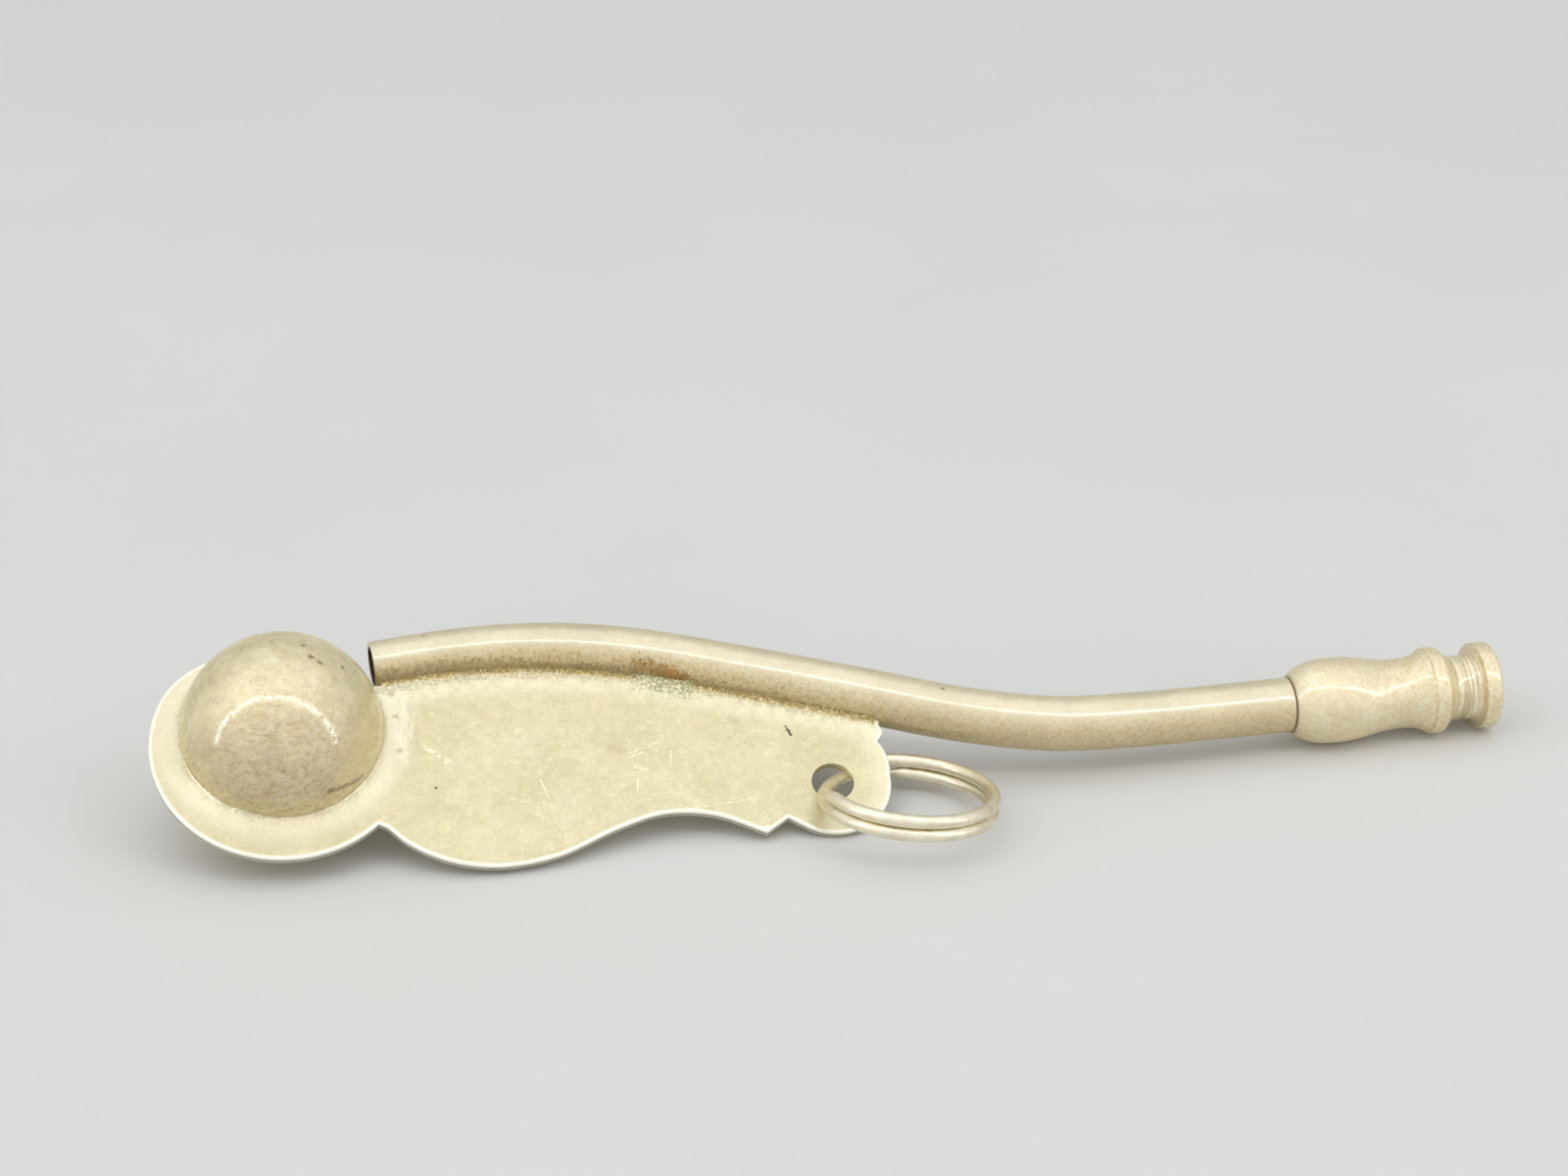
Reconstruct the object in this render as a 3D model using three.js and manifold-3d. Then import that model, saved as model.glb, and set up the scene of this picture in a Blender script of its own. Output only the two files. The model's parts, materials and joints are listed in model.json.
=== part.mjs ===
// Boatswain's call: a bent pipe (the gun) soldered along a stamped keel plate blows across a window in a
// hollow ball (the buoy). A turned mouthpiece closes the far end, and a split ring hangs in the keel's eye.
// Millimetres. The call is drawn flat: the keel's middle plane is z = 0, the buoy's centre is the origin,
// x runs to the mouthpiece and y to the gun. The whole is then turned to lie on a table at z = 0.
import * as THREE from "three";
import { mergeVertices } from "three/addons/utils/BufferGeometryUtils.js";
import Module from "manifold-3d";

const wasm = await Module();
wasm.setup();

// Keel plate
const KEEL_THICKNESS = 0.8;
const DISC_RIM = 2.75; // how far the keel's disc stands out beyond the buoy
const DISC_SHIFT = new THREE.Vector2(0.1, -1.3); // disc centre from the buoy's centre
const DISC_FROM = 158; // degrees, where the rim leaves the disc's circle
const DISC_TO = 312.6; // degrees, the cusp between disc and belly
const RIM_RUNOUT = 100; // degrees, where the rim has sunk to the buoy's own outline
const RIM_PULL = 5; // how far the runout follows the disc's tangent
// The belly's lower edge, x from the buoy's right side
const BELLY = [
  [-0.25, -10.3],
  [1.6, -12.1],
  [5.0, -13.95],
  [9.25, -14.73],
  [14.4, -13.95],
  [19.8, -11.5],
  [23.4, -10.25],
  [26.0, -10.08],
  [29.0, -10.6],
  [33.06, -12.49],
];
const TAIL_NOTCH = [35.1, -11.08];
const HEEL_NOTCH = [44.05, -3.2];
const HEEL_SWELL = [45.1, -5.0]; // pulls the lobe out towards the heel
const HEEL_TIP = [44.75, -2.4];
const HEEL_END = 45.3; // x of the keel's end under the gun
const EYE = [39.49, -7.64]; // centre of the ring's hole
const EYE_RIM = 3.2; // metal left round the hole
const EYE_FROM = -125; // degrees, the tail lobe's arc
const EYE_TO = 3;

// Buoy
const BUOY_RADIUS = 9;
const BUOY_WALL = 0.6;
const WINDOW_DIAMETER = 7; // sounding window
const WINDOW_ANGLE = 70; // degrees from x, in the keel's plane

// Gun, its axis as points with x from the buoy's right side
const GUN_ROUTE = [
  [-0.8, 6.6],
  [6.0, 7.5],
  [13.6, 7.78],
  [22.5, 6.81],
  [33.1, 4.29],
  [43.7, 1.46],
  [52.1, -0.84],
  [60.5, -2.23],
  [68.0, -2.2],
  [75.3, -1.76],
  [82.9, -1.23],
];
const GUN_RADIUS = 2.53;
const GUN_MOUTH_RADIUS = 2.26;
const GUN_TAPER = 0.26; // share of the gun's length over which the mouth end narrows
const GUN_WALL = 0.5;

// Mouthpiece
const SHOULDER_LIP = 0.1; // step from the gun to the mouthpiece's shoulder
const BULB_RADIUS = 3.95;
const BULB_AT = 4.2; // from the shoulder
const SHOULDER_FULLNESS = 0.9; // share of the bulb's radius that the shoulder's curve leans out to
const SHOULDER_RISE = 0.2; // shares of the bulb's distance where its curve is pulled
const BULB_RISE = 0.55;
const WAIST_RADIUS = 3.24;
const WAIST_AT = 10.9;
const COLLAR_RADIUS = 4.02;
const COLLAR_AT = 13.3;
const COLLAR_WIDTH = 1.2;
const NECK_RADIUS = 3;
const NECK_WIDTH = 2.2;
const NECK_RUN = 0.95; // length of the rounded step from the collar to the neck
const FLANGE_RUN = 0.4; // length of the flare from the neck to the flange
const FLANGE_RADIUS = 4;
const FLANGE_WIDTH = 1.4;
const FLANGE_CROWN = 0.35; // how far the blowing face stands out of the flange's rim
const FACE_RADIUS = 2.7; // flat of the blowing face
const BLOW_RADIUS = 1.6; // bore at the blowing face
const BORE_RADIUS = 1.25; // bore through the spigot
const SPIGOT_LENGTH = 6;

// Split ring
const RING_WIRE = 1.2;
const RING_RADIUS = 7.5; // to the middle of the wire
const COIL_GAP = 0.42; // air between the two turns
const RING_PLAY = 0.16; // air round the wire in the eye
const RING_SWING = -31; // degrees in the keel's plane, from x
const RING_LIFT = 18; // degrees out of the keel's plane
const RING_LEAN = 34; // degrees between the ring's plane and the keel's
const RING_STEP = [19, 50]; // degrees past the eye, where the wire climbs from one turn to the other
const RING_REAR_END = 56; // degrees from the eye to the lower turn's end
const RING_FRONT_END = 36; // degrees from the eye to the upper turn's end

// Solder
const JOINT_GAP = 0.05; // clearance at soldered joints
const GUN_SOLDER_MOUTH = 0.4; // leg of the gun's fillets at the mouth
const GUN_SOLDER_TAIL = 0.95; // and at the keel's heel
const BUOY_SOLDER = 0.3; // leg of the buoy's fillets
const SOLDER_INSET = 0.6; // how far the gun's fillets stop short of the keel's ends
const SOLDER_HOLLOW = 0.7; // how deep a fillet's cheek is drawn in, 0 flat to 1 into the corner

// Facets
const ROUND = 40;
const GUN_SIDES = 16;
const GUN_STEPS = 40;
const COIL_STEPS = 24;
const WIRE_SIDES = 6;
const MOUTHPIECE_SIDES = 24;
const WINDOW_SIDES = 24;
const SEAT_STEPS = 32; // along the keel's edge under the gun
const SOLDER_STEPS = 36; // along the gun's fillets
const CHEEK_STEPS = 4; // across a fillet
const MERGE = 1e-4; // points closer than this are one
const ROUNDS = 50; // of each search by halves

const METAL = { color: 0xcfc6b0, roughness: 0.42, metalness: 1 };
const SOLDER = { color: 0xb9ab8d, roughness: 0.6, metalness: 0.9 };
const STEEL = { color: 0xd8d2c2, roughness: 0.3, metalness: 1 };

const half = KEEL_THICKNESS / 2;
const rad = THREE.MathUtils.degToRad;
const fromBuoy = ([x, y]) => new THREE.Vector2(BUOY_RADIUS + x, y);
const polar = (angle, radius) => new THREE.Vector2(Math.cos(angle), Math.sin(angle)).multiplyScalar(radius);
const UP = new THREE.Vector3(0, 0, 1);

// The wire crosses the plate aslant, so the eye is the wire's slanting width plus the plate's own shadow.
const crossing = Math.sin(rad(RING_LEAN)) * Math.cos(rad(RING_LIFT));
const slant = Math.sqrt(1 - crossing * crossing);
const EYE_RADIUS = (RING_WIRE + 2 * RING_PLAY + KEEL_THICKNESS * slant) / crossing / 2;
const eye = fromBuoy(EYE);

// Gun axis
const gunAxis = new THREE.CatmullRomCurve3(
  GUN_ROUTE.map((point) => {
    const flat = fromBuoy(point);
    return new THREE.Vector3(flat.x, flat.y, 0);
  }),
);

function gunRadius(share) {
  const narrow = 1 - THREE.MathUtils.smoothstep(share, 0, GUN_TAPER);
  return THREE.MathUtils.lerp(GUN_RADIUS, GUN_MOUTH_RADIUS, narrow);
}

// A place on the gun's axis: its point, its direction and its side that faces the keel.
function gunPlace(share) {
  const point = gunAxis.getPointAt(share);
  const along = gunAxis.getTangentAt(share);
  const below = new THREE.Vector3(along.y, -along.x, 0);
  return { point, along, below, radius: gunRadius(share) };
}

// The share of the gun's length at which its axis passes a given x.
function gunShareAt(x) {
  let low = 0;
  let high = 1;
  for (let i = 0; i < ROUNDS; i++) {
    const middle = (low + high) / 2;
    if (gunAxis.getPointAt(middle).x < x) low = middle;
    else high = middle;
  }
  return low;
}
const gunKeelEnd = gunShareAt(BUOY_RADIUS + HEEL_END);

// Solids for cutting
function solidOf(geometry) {
  const bare = geometry.clone();
  bare.deleteAttribute("normal");
  bare.deleteAttribute("uv");
  const merged = mergeVertices(bare, MERGE);
  return new wasm.Manifold(
    new wasm.Mesh({
      numProp: 3,
      vertProperties: merged.attributes.position.array,
      triVerts: new Uint32Array(merged.index.array),
    }),
  );
}

function geometryOf(solid) {
  const { vertProperties, triVerts } = solid.getMesh();
  const geometry = new THREE.BufferGeometry();
  geometry.setAttribute("position", new THREE.BufferAttribute(vertProperties, 3));
  geometry.setIndex(new THREE.BufferAttribute(triVerts, 1));
  geometry.computeVertexNormals();
  return geometry;
}

function indexed(points, index) {
  const geometry = new THREE.BufferGeometry().setFromPoints(points);
  geometry.setIndex(index);
  geometry.computeVertexNormals();
  return geometry;
}

// Sides between neighbouring rings of points, each ring turning anticlockwise seen from the next one.
function sides(rings, size, first, index) {
  for (let i = 0; i + 1 < rings; i++) {
    for (let j = 0; j < size; j++) {
      const a = first + i * size + j;
      const b = first + i * size + ((j + 1) % size);
      index.push(a, b, b + size, a, b + size, a + size);
    }
  }
}

// A closed body through a row of rings, with a fan over each end from the ring's first point.
function loft(rings) {
  const size = rings[0].length;
  const last = (rings.length - 1) * size;
  const index = [];
  sides(rings.length, size, 0, index);
  for (let j = 1; j + 1 < size; j++) {
    index.push(0, j + 1, j);
    index.push(last, last + j, last + j + 1);
  }
  return indexed(rings.flat(), index);
}

// A pipe through a row of outer rings and a row of inner rings, open at both ends.
function pipe(outer, inner) {
  const size = outer[0].length;
  const rows = outer.length;
  const bore = rows * size;
  const index = [];
  sides(rows, size, 0, index);
  const lining = [];
  sides(rows, size, bore, lining);
  lining.reverse();
  index.push(...lining);
  const last = (rows - 1) * size;
  for (let j = 0; j < size; j++) {
    const k = (j + 1) % size;
    index.push(j, bore + j, bore + k, j, bore + k, k);
    index.push(last + j, last + k, bore + last + k, last + j, bore + last + k, bore + last + j);
  }
  return indexed([...outer.flat(), ...inner.flat()], index);
}

function circleRing(centre, across, up, radius, count) {
  return Array.from({ length: count }, (_, j) => {
    const turn = (j / count) * 2 * Math.PI;
    return centre
      .clone()
      .addScaledVector(across, radius * Math.cos(turn))
      .addScaledVector(up, radius * Math.sin(turn));
  });
}

// The sounding window as a round cutter across the buoy's wall and the keel's rim.
function windowCutter() {
  const reach = BUOY_RADIUS + DISC_RIM + WINDOW_DIAMETER;
  const radius = WINDOW_DIAMETER / 2;
  const cutter = new THREE.CylinderGeometry(radius, radius, reach, WINDOW_SIDES);
  cutter.translate(0, reach / 2 + BUOY_RADIUS / 2, 0);
  cutter.rotateZ(rad(WINDOW_ANGLE - 90));
  return solidOf(cutter);
}

// Keel plate: disc, cusp, belly, tail, eye lobe and heel, with its upper edge under the gun
function keelOutline() {
  const mouth = gunPlace(0);
  const seat = mouth.point.clone().addScaledVector(mouth.below, mouth.radius + JOINT_GAP);
  const foot = Math.atan2(seat.y, seat.x);
  const outline = new THREE.Shape();
  outline.absarc(0, 0, BUOY_RADIUS, foot, rad(RIM_RUNOUT), false);
  const disc = BUOY_RADIUS + DISC_RIM;
  const start = polar(rad(DISC_FROM), disc).add(DISC_SHIFT);
  const pull = polar(rad(DISC_FROM) - Math.PI / 2, RIM_PULL).add(start);
  outline.quadraticCurveTo(pull.x, pull.y, start.x, start.y);
  outline.absarc(DISC_SHIFT.x, DISC_SHIFT.y, disc, rad(DISC_FROM), rad(DISC_TO), false);
  const belly = BELLY.map(fromBuoy);
  outline.lineTo(belly[0].x, belly[0].y);
  outline.splineThru(belly.slice(1));
  const tail = fromBuoy(TAIL_NOTCH);
  outline.lineTo(tail.x, tail.y);
  outline.absarc(eye.x, eye.y, EYE_RADIUS + EYE_RIM, rad(EYE_FROM), rad(EYE_TO), false);
  const swell = fromBuoy(HEEL_SWELL);
  const notch = fromBuoy(HEEL_NOTCH);
  const tip = fromBuoy(HEEL_TIP);
  outline.quadraticCurveTo(swell.x, swell.y, notch.x, notch.y);
  outline.lineTo(tip.x, tip.y);
  for (let i = SEAT_STEPS; i >= 0; i--) {
    const place = gunPlace((gunKeelEnd * i) / SEAT_STEPS);
    const edge = place.point.clone().addScaledVector(place.below, place.radius + JOINT_GAP);
    outline.lineTo(edge.x, edge.y);
  }
  outline.closePath();
  return outline;
}

function keelPlate() {
  const outline = keelOutline();
  const chamber = new THREE.Path();
  chamber.absarc(0, 0, BUOY_RADIUS - BUOY_WALL, 0, 2 * Math.PI, true);
  const ringHole = new THREE.Path();
  ringHole.absarc(eye.x, eye.y, EYE_RADIUS, 0, 2 * Math.PI, true);
  outline.holes.push(chamber, ringHole);
  const plate = new THREE.ExtrudeGeometry(outline, {
    depth: KEEL_THICKNESS,
    bevelEnabled: false,
    curveSegments: ROUND / 2,
  });
  plate.translate(0, 0, -half);
  return geometryOf(solidOf(plate).subtract(windowCutter()));
}

// Buoy: two hollow half balls, one on each face of the keel's disc
function cap(radius, base) {
  const rim = Math.asin(base / radius);
  const profile = [new THREE.Vector2(0, base)];
  const steps = ROUND / 4;
  for (let i = 0; i < steps; i++) {
    profile.push(polar(THREE.MathUtils.lerp(rim, Math.PI / 2, i / steps), radius));
  }
  profile.push(new THREE.Vector2(0, radius));
  const ball = new THREE.LatheGeometry(profile, ROUND);
  ball.rotateX(Math.PI / 2);
  return ball;
}

function buoyShell(side) {
  const seat = half + JOINT_GAP;
  const outer = cap(BUOY_RADIUS, seat);
  const inner = cap(BUOY_RADIUS - BUOY_WALL, seat / 2);
  if (side < 0) {
    outer.rotateX(Math.PI);
    inner.rotateX(Math.PI);
  }
  return geometryOf(solidOf(outer).subtract(solidOf(inner)).subtract(windowCutter()));
}

// Gun: a bent pipe, narrowed towards its mouth
function gunTube() {
  const outer = [];
  const inner = [];
  for (let i = 0; i <= GUN_STEPS; i++) {
    const { point, below, radius } = gunPlace(i / GUN_STEPS);
    const above = below.clone().negate();
    outer.push(circleRing(point, above, UP, radius, GUN_SIDES));
    inner.push(circleRing(point, above, UP, radius - GUN_WALL, GUN_SIDES));
  }
  return pipe(outer, inner);
}

// Mouthpiece: a turned baluster with a spigot inside the gun, drawn upright from the gun's end
function mouthpieceStations() {
  const collarEnd = COLLAR_AT + COLLAR_WIDTH;
  const neckFrom = collarEnd + NECK_RUN;
  const neckTo = neckFrom + NECK_WIDTH;
  const flangeFrom = neckTo + FLANGE_RUN;
  const flangeTo = flangeFrom + FLANGE_WIDTH;
  return { collarEnd, neckFrom, neckTo, flangeFrom, flangeTo, face: flangeTo + FLANGE_CROWN };
}

function mouthpieceTurning() {
  const { collarEnd, neckFrom, neckTo, flangeFrom, flangeTo, face } = mouthpieceStations();
  const shoulder = GUN_RADIUS + SHOULDER_LIP;
  const body = new THREE.Path();
  body.moveTo(BORE_RADIUS, -SPIGOT_LENGTH);
  body.lineTo(GUN_RADIUS - GUN_WALL - JOINT_GAP, -SPIGOT_LENGTH);
  body.lineTo(GUN_RADIUS - GUN_WALL - JOINT_GAP, JOINT_GAP);
  body.lineTo(shoulder, JOINT_GAP);
  const lean = BULB_RADIUS * SHOULDER_FULLNESS;
  body.bezierCurveTo(lean, BULB_AT * SHOULDER_RISE, BULB_RADIUS, BULB_AT * BULB_RISE, BULB_RADIUS, BULB_AT);
  const drawIn = (WAIST_AT - BULB_AT) / 2;
  body.bezierCurveTo(BULB_RADIUS, BULB_AT + drawIn, WAIST_RADIUS, WAIST_AT - drawIn, WAIST_RADIUS, WAIST_AT);
  body.quadraticCurveTo(WAIST_RADIUS, (WAIST_AT + COLLAR_AT) / 2, COLLAR_RADIUS, COLLAR_AT);
  body.lineTo(COLLAR_RADIUS, collarEnd);
  body.quadraticCurveTo(COLLAR_RADIUS, neckFrom, NECK_RADIUS, neckFrom);
  body.lineTo(NECK_RADIUS, neckTo);
  body.quadraticCurveTo(NECK_RADIUS, flangeFrom, FLANGE_RADIUS, flangeFrom);
  body.lineTo(FLANGE_RADIUS, flangeTo);
  body.quadraticCurveTo(FLANGE_RADIUS, face, FACE_RADIUS, face);
  body.lineTo(BLOW_RADIUS, face);
  body.lineTo(BORE_RADIUS, flangeFrom);
  body.closePath();
  const outline = body.getPoints(ROUND / 8);
  return new THREE.LatheGeometry(outline, MOUTHPIECE_SIDES);
}

// Solder fillet: a hollow-cheeked corner between a flat face and a round body. Section points are the
// distance outwards from the round body's centre and the height above the flat face's middle plane.
function filletSection(radius, leg) {
  const low = half + JOINT_GAP;
  const skin = radius + JOINT_GAP;
  const from = Math.asin(low / skin);
  const to = from + leg / skin;
  const corner = polar(from, skin);
  const toe = new THREE.Vector2(corner.x + leg, low);
  const crest = polar(to, skin);
  const hollow = toe.clone().lerp(crest, 0.5).lerp(corner, SOLDER_HOLLOW);
  const cheek = new THREE.QuadraticBezierCurve(toe, hollow, crest).getPoints(CHEEK_STEPS);
  return [corner, ...cheek, polar((from + to) / 2, skin)];
}

function fillet(places, side) {
  const rings = places.map(({ centre, outward, radius, leg }) =>
    filletSection(radius, leg).map((point) =>
      centre
        .clone()
        .addScaledVector(outward, point.x)
        .addScaledVector(UP, side * point.y),
    ),
  );
  if (side < 0) rings.reverse();
  return loft(rings);
}

function gunSolder(side) {
  const length = gunAxis.getLength();
  const from = SOLDER_INSET / length;
  const to = gunKeelEnd - SOLDER_INSET / length;
  const places = [];
  for (let i = SOLDER_STEPS; i >= 0; i--) {
    const share = i / SOLDER_STEPS;
    const { point, below, radius } = gunPlace(THREE.MathUtils.lerp(from, to, share));
    const leg = THREE.MathUtils.lerp(GUN_SOLDER_MOUTH, GUN_SOLDER_TAIL, share);
    places.push({ centre: point, outward: below, radius, leg });
  }
  return fillet(places, side);
}

// The buoy's fillet runs round the disc from the rim's runout to just under the gun's mouth.
function buoySolder(side) {
  const mouth = gunPlace(0);
  const ceiling = mouth.point.y - mouth.radius - GUN_SOLDER_MOUTH - BUOY_SOLDER;
  const to = Math.asin(ceiling / (BUOY_RADIUS + BUOY_SOLDER));
  const from = rad(DISC_FROM - 360);
  const places = [];
  for (let i = 0; i <= ROUND; i++) {
    const turn = THREE.MathUtils.lerp(to, from, i / ROUND);
    const outward = new THREE.Vector3(Math.cos(turn), Math.sin(turn), 0);
    places.push({ centre: new THREE.Vector3(), outward, radius: BUOY_RADIUS, leg: BUOY_SOLDER });
  }
  return fillet(places, side);
}

// Split ring: one wire of two turns, drawn from the eye at the origin with its centre along x and z across
// its turns. The lower turn passes through the eye, then the wire climbs to the upper turn.
function ringWirePoint(angle) {
  const [from, to] = RING_STEP;
  const climb = THREE.MathUtils.smoothstep(angle, 360 + from, 360 + to);
  const turn = rad(angle);
  const pitch = RING_WIRE + COIL_GAP;
  return new THREE.Vector3(RING_RADIUS * (1 - Math.cos(turn)), RING_RADIUS * Math.sin(turn), pitch * climb);
}

function splitRing() {
  const last = 720 - RING_FRONT_END;
  const count = Math.round(((last - RING_REAR_END) / 360) * COIL_STEPS);
  const angles = Array.from({ length: count + 1 }, (_, i) =>
    THREE.MathUtils.lerp(RING_REAR_END, last, i / count),
  );
  const rings = angles.map((angle) => {
    const turn = rad(angle);
    const outward = new THREE.Vector3(-Math.cos(turn), Math.sin(turn), 0);
    return circleRing(ringWirePoint(angle), outward, UP, RING_WIRE / 2, WIRE_SIDES);
  });
  let least = Infinity;
  for (const a of angles) {
    for (const b of angles) {
      if (b - a < 180) continue;
      least = Math.min(least, ringWirePoint(a).distanceTo(ringWirePoint(b)) - RING_WIRE);
    }
  }
  console.log(`split ring: least gap of the wire to itself ${least.toFixed(2)} mm`);
  return loft(rings);
}

// Scene graph
function piece(name, geometry, finish) {
  const mesh = new THREE.Mesh(geometry, new THREE.MeshStandardMaterial(finish));
  mesh.name = name;
  return mesh;
}

const call = new THREE.Group();
call.add(piece("keel_plate", keelPlate(), METAL));
call.add(piece("buoy_front_shell", buoyShell(1), METAL));
call.add(piece("buoy_back_shell", buoyShell(-1), METAL));
call.add(piece("gun_tube", gunTube(), METAL));
call.add(piece("gun_solder_front", gunSolder(1), SOLDER));
call.add(piece("gun_solder_back", gunSolder(-1), SOLDER));
call.add(piece("buoy_solder_front", buoySolder(1), SOLDER));
call.add(piece("buoy_solder_back", buoySolder(-1), SOLDER));

const gunEnd = gunPlace(1);
const mouthpiece = new THREE.Group();
mouthpiece.name = "mouthpiece_seat";
mouthpiece.position.copy(gunEnd.point);
mouthpiece.quaternion.setFromUnitVectors(new THREE.Vector3(0, 1, 0), gunEnd.along);
mouthpiece.add(piece("mouthpiece", mouthpieceTurning(), METAL));
call.add(mouthpiece);

const ring = new THREE.Group();
ring.name = "ring_hinge";
ring.position.set(eye.x, eye.y, 0);
ring.rotation.set(rad(-RING_LEAN), rad(-RING_LIFT), rad(RING_SWING), "ZYX");
ring.add(piece("split_ring", splitRing(), STEEL));
call.add(ring);

// Lying on a table: it touches the buoy, the mouthpiece's lowest swelling and the keel's lower edge.
function tableNormal() {
  const { flangeTo, collarEnd } = mouthpieceStations();
  const swellings = [
    [BULB_AT, BULB_RADIUS],
    [collarEnd, COLLAR_RADIUS],
    [flangeTo, FLANGE_RADIUS],
  ];
  const edge = keelOutline().getPoints(ROUND / 2);
  // For a given lean of the keel, the pitch that lays the mouthpiece on the table.
  const pitched = (lean) => {
    const normal = new THREE.Vector3(0, Math.sin(lean), Math.cos(lean));
    for (let i = 0; i < ROUNDS; i++) {
      const tilt = normal.dot(gunEnd.along);
      const slopes = swellings.map(([at, radius]) => {
        const middle = gunEnd.point.clone().addScaledVector(gunEnd.along, at);
        const drop = radius * Math.sqrt(1 - tilt * tilt) - BUOY_RADIUS;
        return (drop - normal.y * middle.y) / middle.x;
      });
      normal.x = Math.max(...slopes);
      const level = Math.sqrt(1 - normal.x * normal.x);
      normal.y = Math.sin(lean) * level;
      normal.z = Math.cos(lean) * level;
    }
    return normal;
  };
  const lowest = (normal) => Math.min(...edge.map((p) => normal.x * p.x + normal.y * p.y)) - normal.z * half;
  let low = 0;
  let high = Math.PI / 2;
  for (let i = 0; i < ROUNDS; i++) {
    const middle = (low + high) / 2;
    if (lowest(pitched(middle)) > -BUOY_RADIUS) low = middle;
    else high = middle;
  }
  return pitched(low);
}

const up = tableNormal();
const along = new THREE.Vector3(1, 0, 0).addScaledVector(up, -up.x).normalize();
const across = new THREE.Vector3().crossVectors(up, along);
call.setRotationFromMatrix(new THREE.Matrix4().makeBasis(along, across, up).transpose());
call.updateMatrixWorld(true);
const box = new THREE.Box3().setFromObject(call, true);
const centre = box.getCenter(new THREE.Vector3());
call.position.set(-centre.x, -centre.y, -box.min.z);

const boatswainsCall = new THREE.Group();
boatswainsCall.add(call);

export default boatswainsCall;
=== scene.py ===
# Boatswain's call lying on a pale table: a stamped keel, a soldered ball and tube, a turned mouthpiece and
# a split ring, all of aged nickel silver. Pieces are drawn in millimetres on the keel's own axes, with x to
# the mouthpiece, y to the tube and z out of the keel's face, and are then laid where the frame holds them.
import json
import math

import bmesh
import bpy
import numpy as np
from mathutils import Matrix, Vector, noise
from mathutils.geometry import delaunay_2d_cdt


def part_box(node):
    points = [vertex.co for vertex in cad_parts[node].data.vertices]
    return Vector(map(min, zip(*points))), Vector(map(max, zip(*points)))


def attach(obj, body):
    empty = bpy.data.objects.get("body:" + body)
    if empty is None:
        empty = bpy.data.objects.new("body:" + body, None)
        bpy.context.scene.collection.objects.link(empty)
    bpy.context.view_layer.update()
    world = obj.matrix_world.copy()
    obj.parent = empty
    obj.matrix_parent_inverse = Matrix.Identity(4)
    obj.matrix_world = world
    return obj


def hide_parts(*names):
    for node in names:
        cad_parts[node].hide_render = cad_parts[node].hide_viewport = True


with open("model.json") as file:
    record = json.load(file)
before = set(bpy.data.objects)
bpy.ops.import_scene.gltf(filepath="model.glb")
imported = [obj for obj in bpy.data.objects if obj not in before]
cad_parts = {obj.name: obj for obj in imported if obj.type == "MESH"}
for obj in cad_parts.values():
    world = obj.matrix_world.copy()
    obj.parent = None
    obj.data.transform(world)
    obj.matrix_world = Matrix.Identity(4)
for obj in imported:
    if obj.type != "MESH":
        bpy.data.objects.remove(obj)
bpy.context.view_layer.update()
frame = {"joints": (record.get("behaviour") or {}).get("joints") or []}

MM = 0.001
MERGE = 1e-4  # points closer than this are one
TINY = 1e-6
CRISP, SOLDER_CRISP = 35, 60  # degrees; edges sharper than this stay crisp
CENTRE = Vector((0, 0))
OUT = Vector((0, 0, 1))

# Keel plate
KEEL_THICKNESS = 0.8
FACE = KEEL_THICKNESS / 2
DISC_RADIUS = 11.75
DISC_CENTRE = Vector((0.1, -1.3))
DISC_FROM, DISC_TO = 158, 312.6  # degrees of the disc's free rim
RIM_RUNOUT = 100  # degrees, where the rim has sunk to the ball's outline
RIM_PULL = 5  # how far the runout follows the disc's tangent
BELLY = [
    (8.75, -10.3), (10.6, -12.1), (14.0, -13.95), (18.25, -14.73), (23.4, -13.95),
    (28.8, -11.5), (32.4, -10.25), (35.0, -10.08), (38.0, -10.6), (42.06, -12.49),
]
BELLY_STEPS = 14  # between given points
TAIL_NOTCH = Vector((44.1, -11.08))
EYE = Vector((48.49, -7.64))
EYE_RADIUS = 1.9
EYE_STEP = 0.12
LOBE_RADIUS = 5.27
LOBE_FROM, LOBE_TO = -125, 3  # degrees of the lobe's arc round the eye
HEEL_SWELL = Vector((54.1, -5.0))
HEEL = [(53.07, -3.59), (53.45, -3.09), (53.68, -2.63), (53.6, -2.25), (53.42, -1.9)]
HEEL_STEPS = 3
HEEL_END = 54.0
SEAT_STEPS = 150  # along the tube
EDGE_STEP = 0.3  # between points of the outline
MESH_STEP = 0.8  # between points on the keel's faces
MESH_CLEAR = 1.0  # from those points to the edges
MITRE_LIMIT = 0.45  # the sharpest corner that an inset line follows in full
INSIDE = 1  # triangles fill what lies inside the outline
# The blanked edge from the front face to the back: how far in, how high
BLANKED_EDGE = [
    (0.2, FACE), (0.16, FACE), (0.08, FACE - 0.02), (0.03, FACE - 0.06), (0, FACE - 0.14),
    (0, 0.06), (0.04, 0.03), (0.04, -0.02), (0.0, -0.05),
    (0.015, 0.08 - FACE), (0.07, -FACE), (0.18, -FACE),
]
PUNCHED_EDGE = [(0.3, FACE), (0.07, FACE), (0.05, FACE), (0.015, FACE - 0.015), (0, FACE - 0.05), (0, -FACE)]
PLAIN_EDGE = [(0, FACE), (0, -FACE)]

# Ball
BALL_RADIUS = 9
BALL_WALL = 0.6
CHAMBER_RADIUS = BALL_RADIUS - BALL_WALL
WINDOW_RADIUS = 3.5
WINDOW_ANGLE = 70  # degrees from x, on the keel's plane
WINDOW_REACH = (BALL_RADIUS / 2, 15)  # the cutter's ends, from the ball's centre
WINDOW_SIDES = 96
BALL_SIDES = 128
BALL_RINGS = 40

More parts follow.
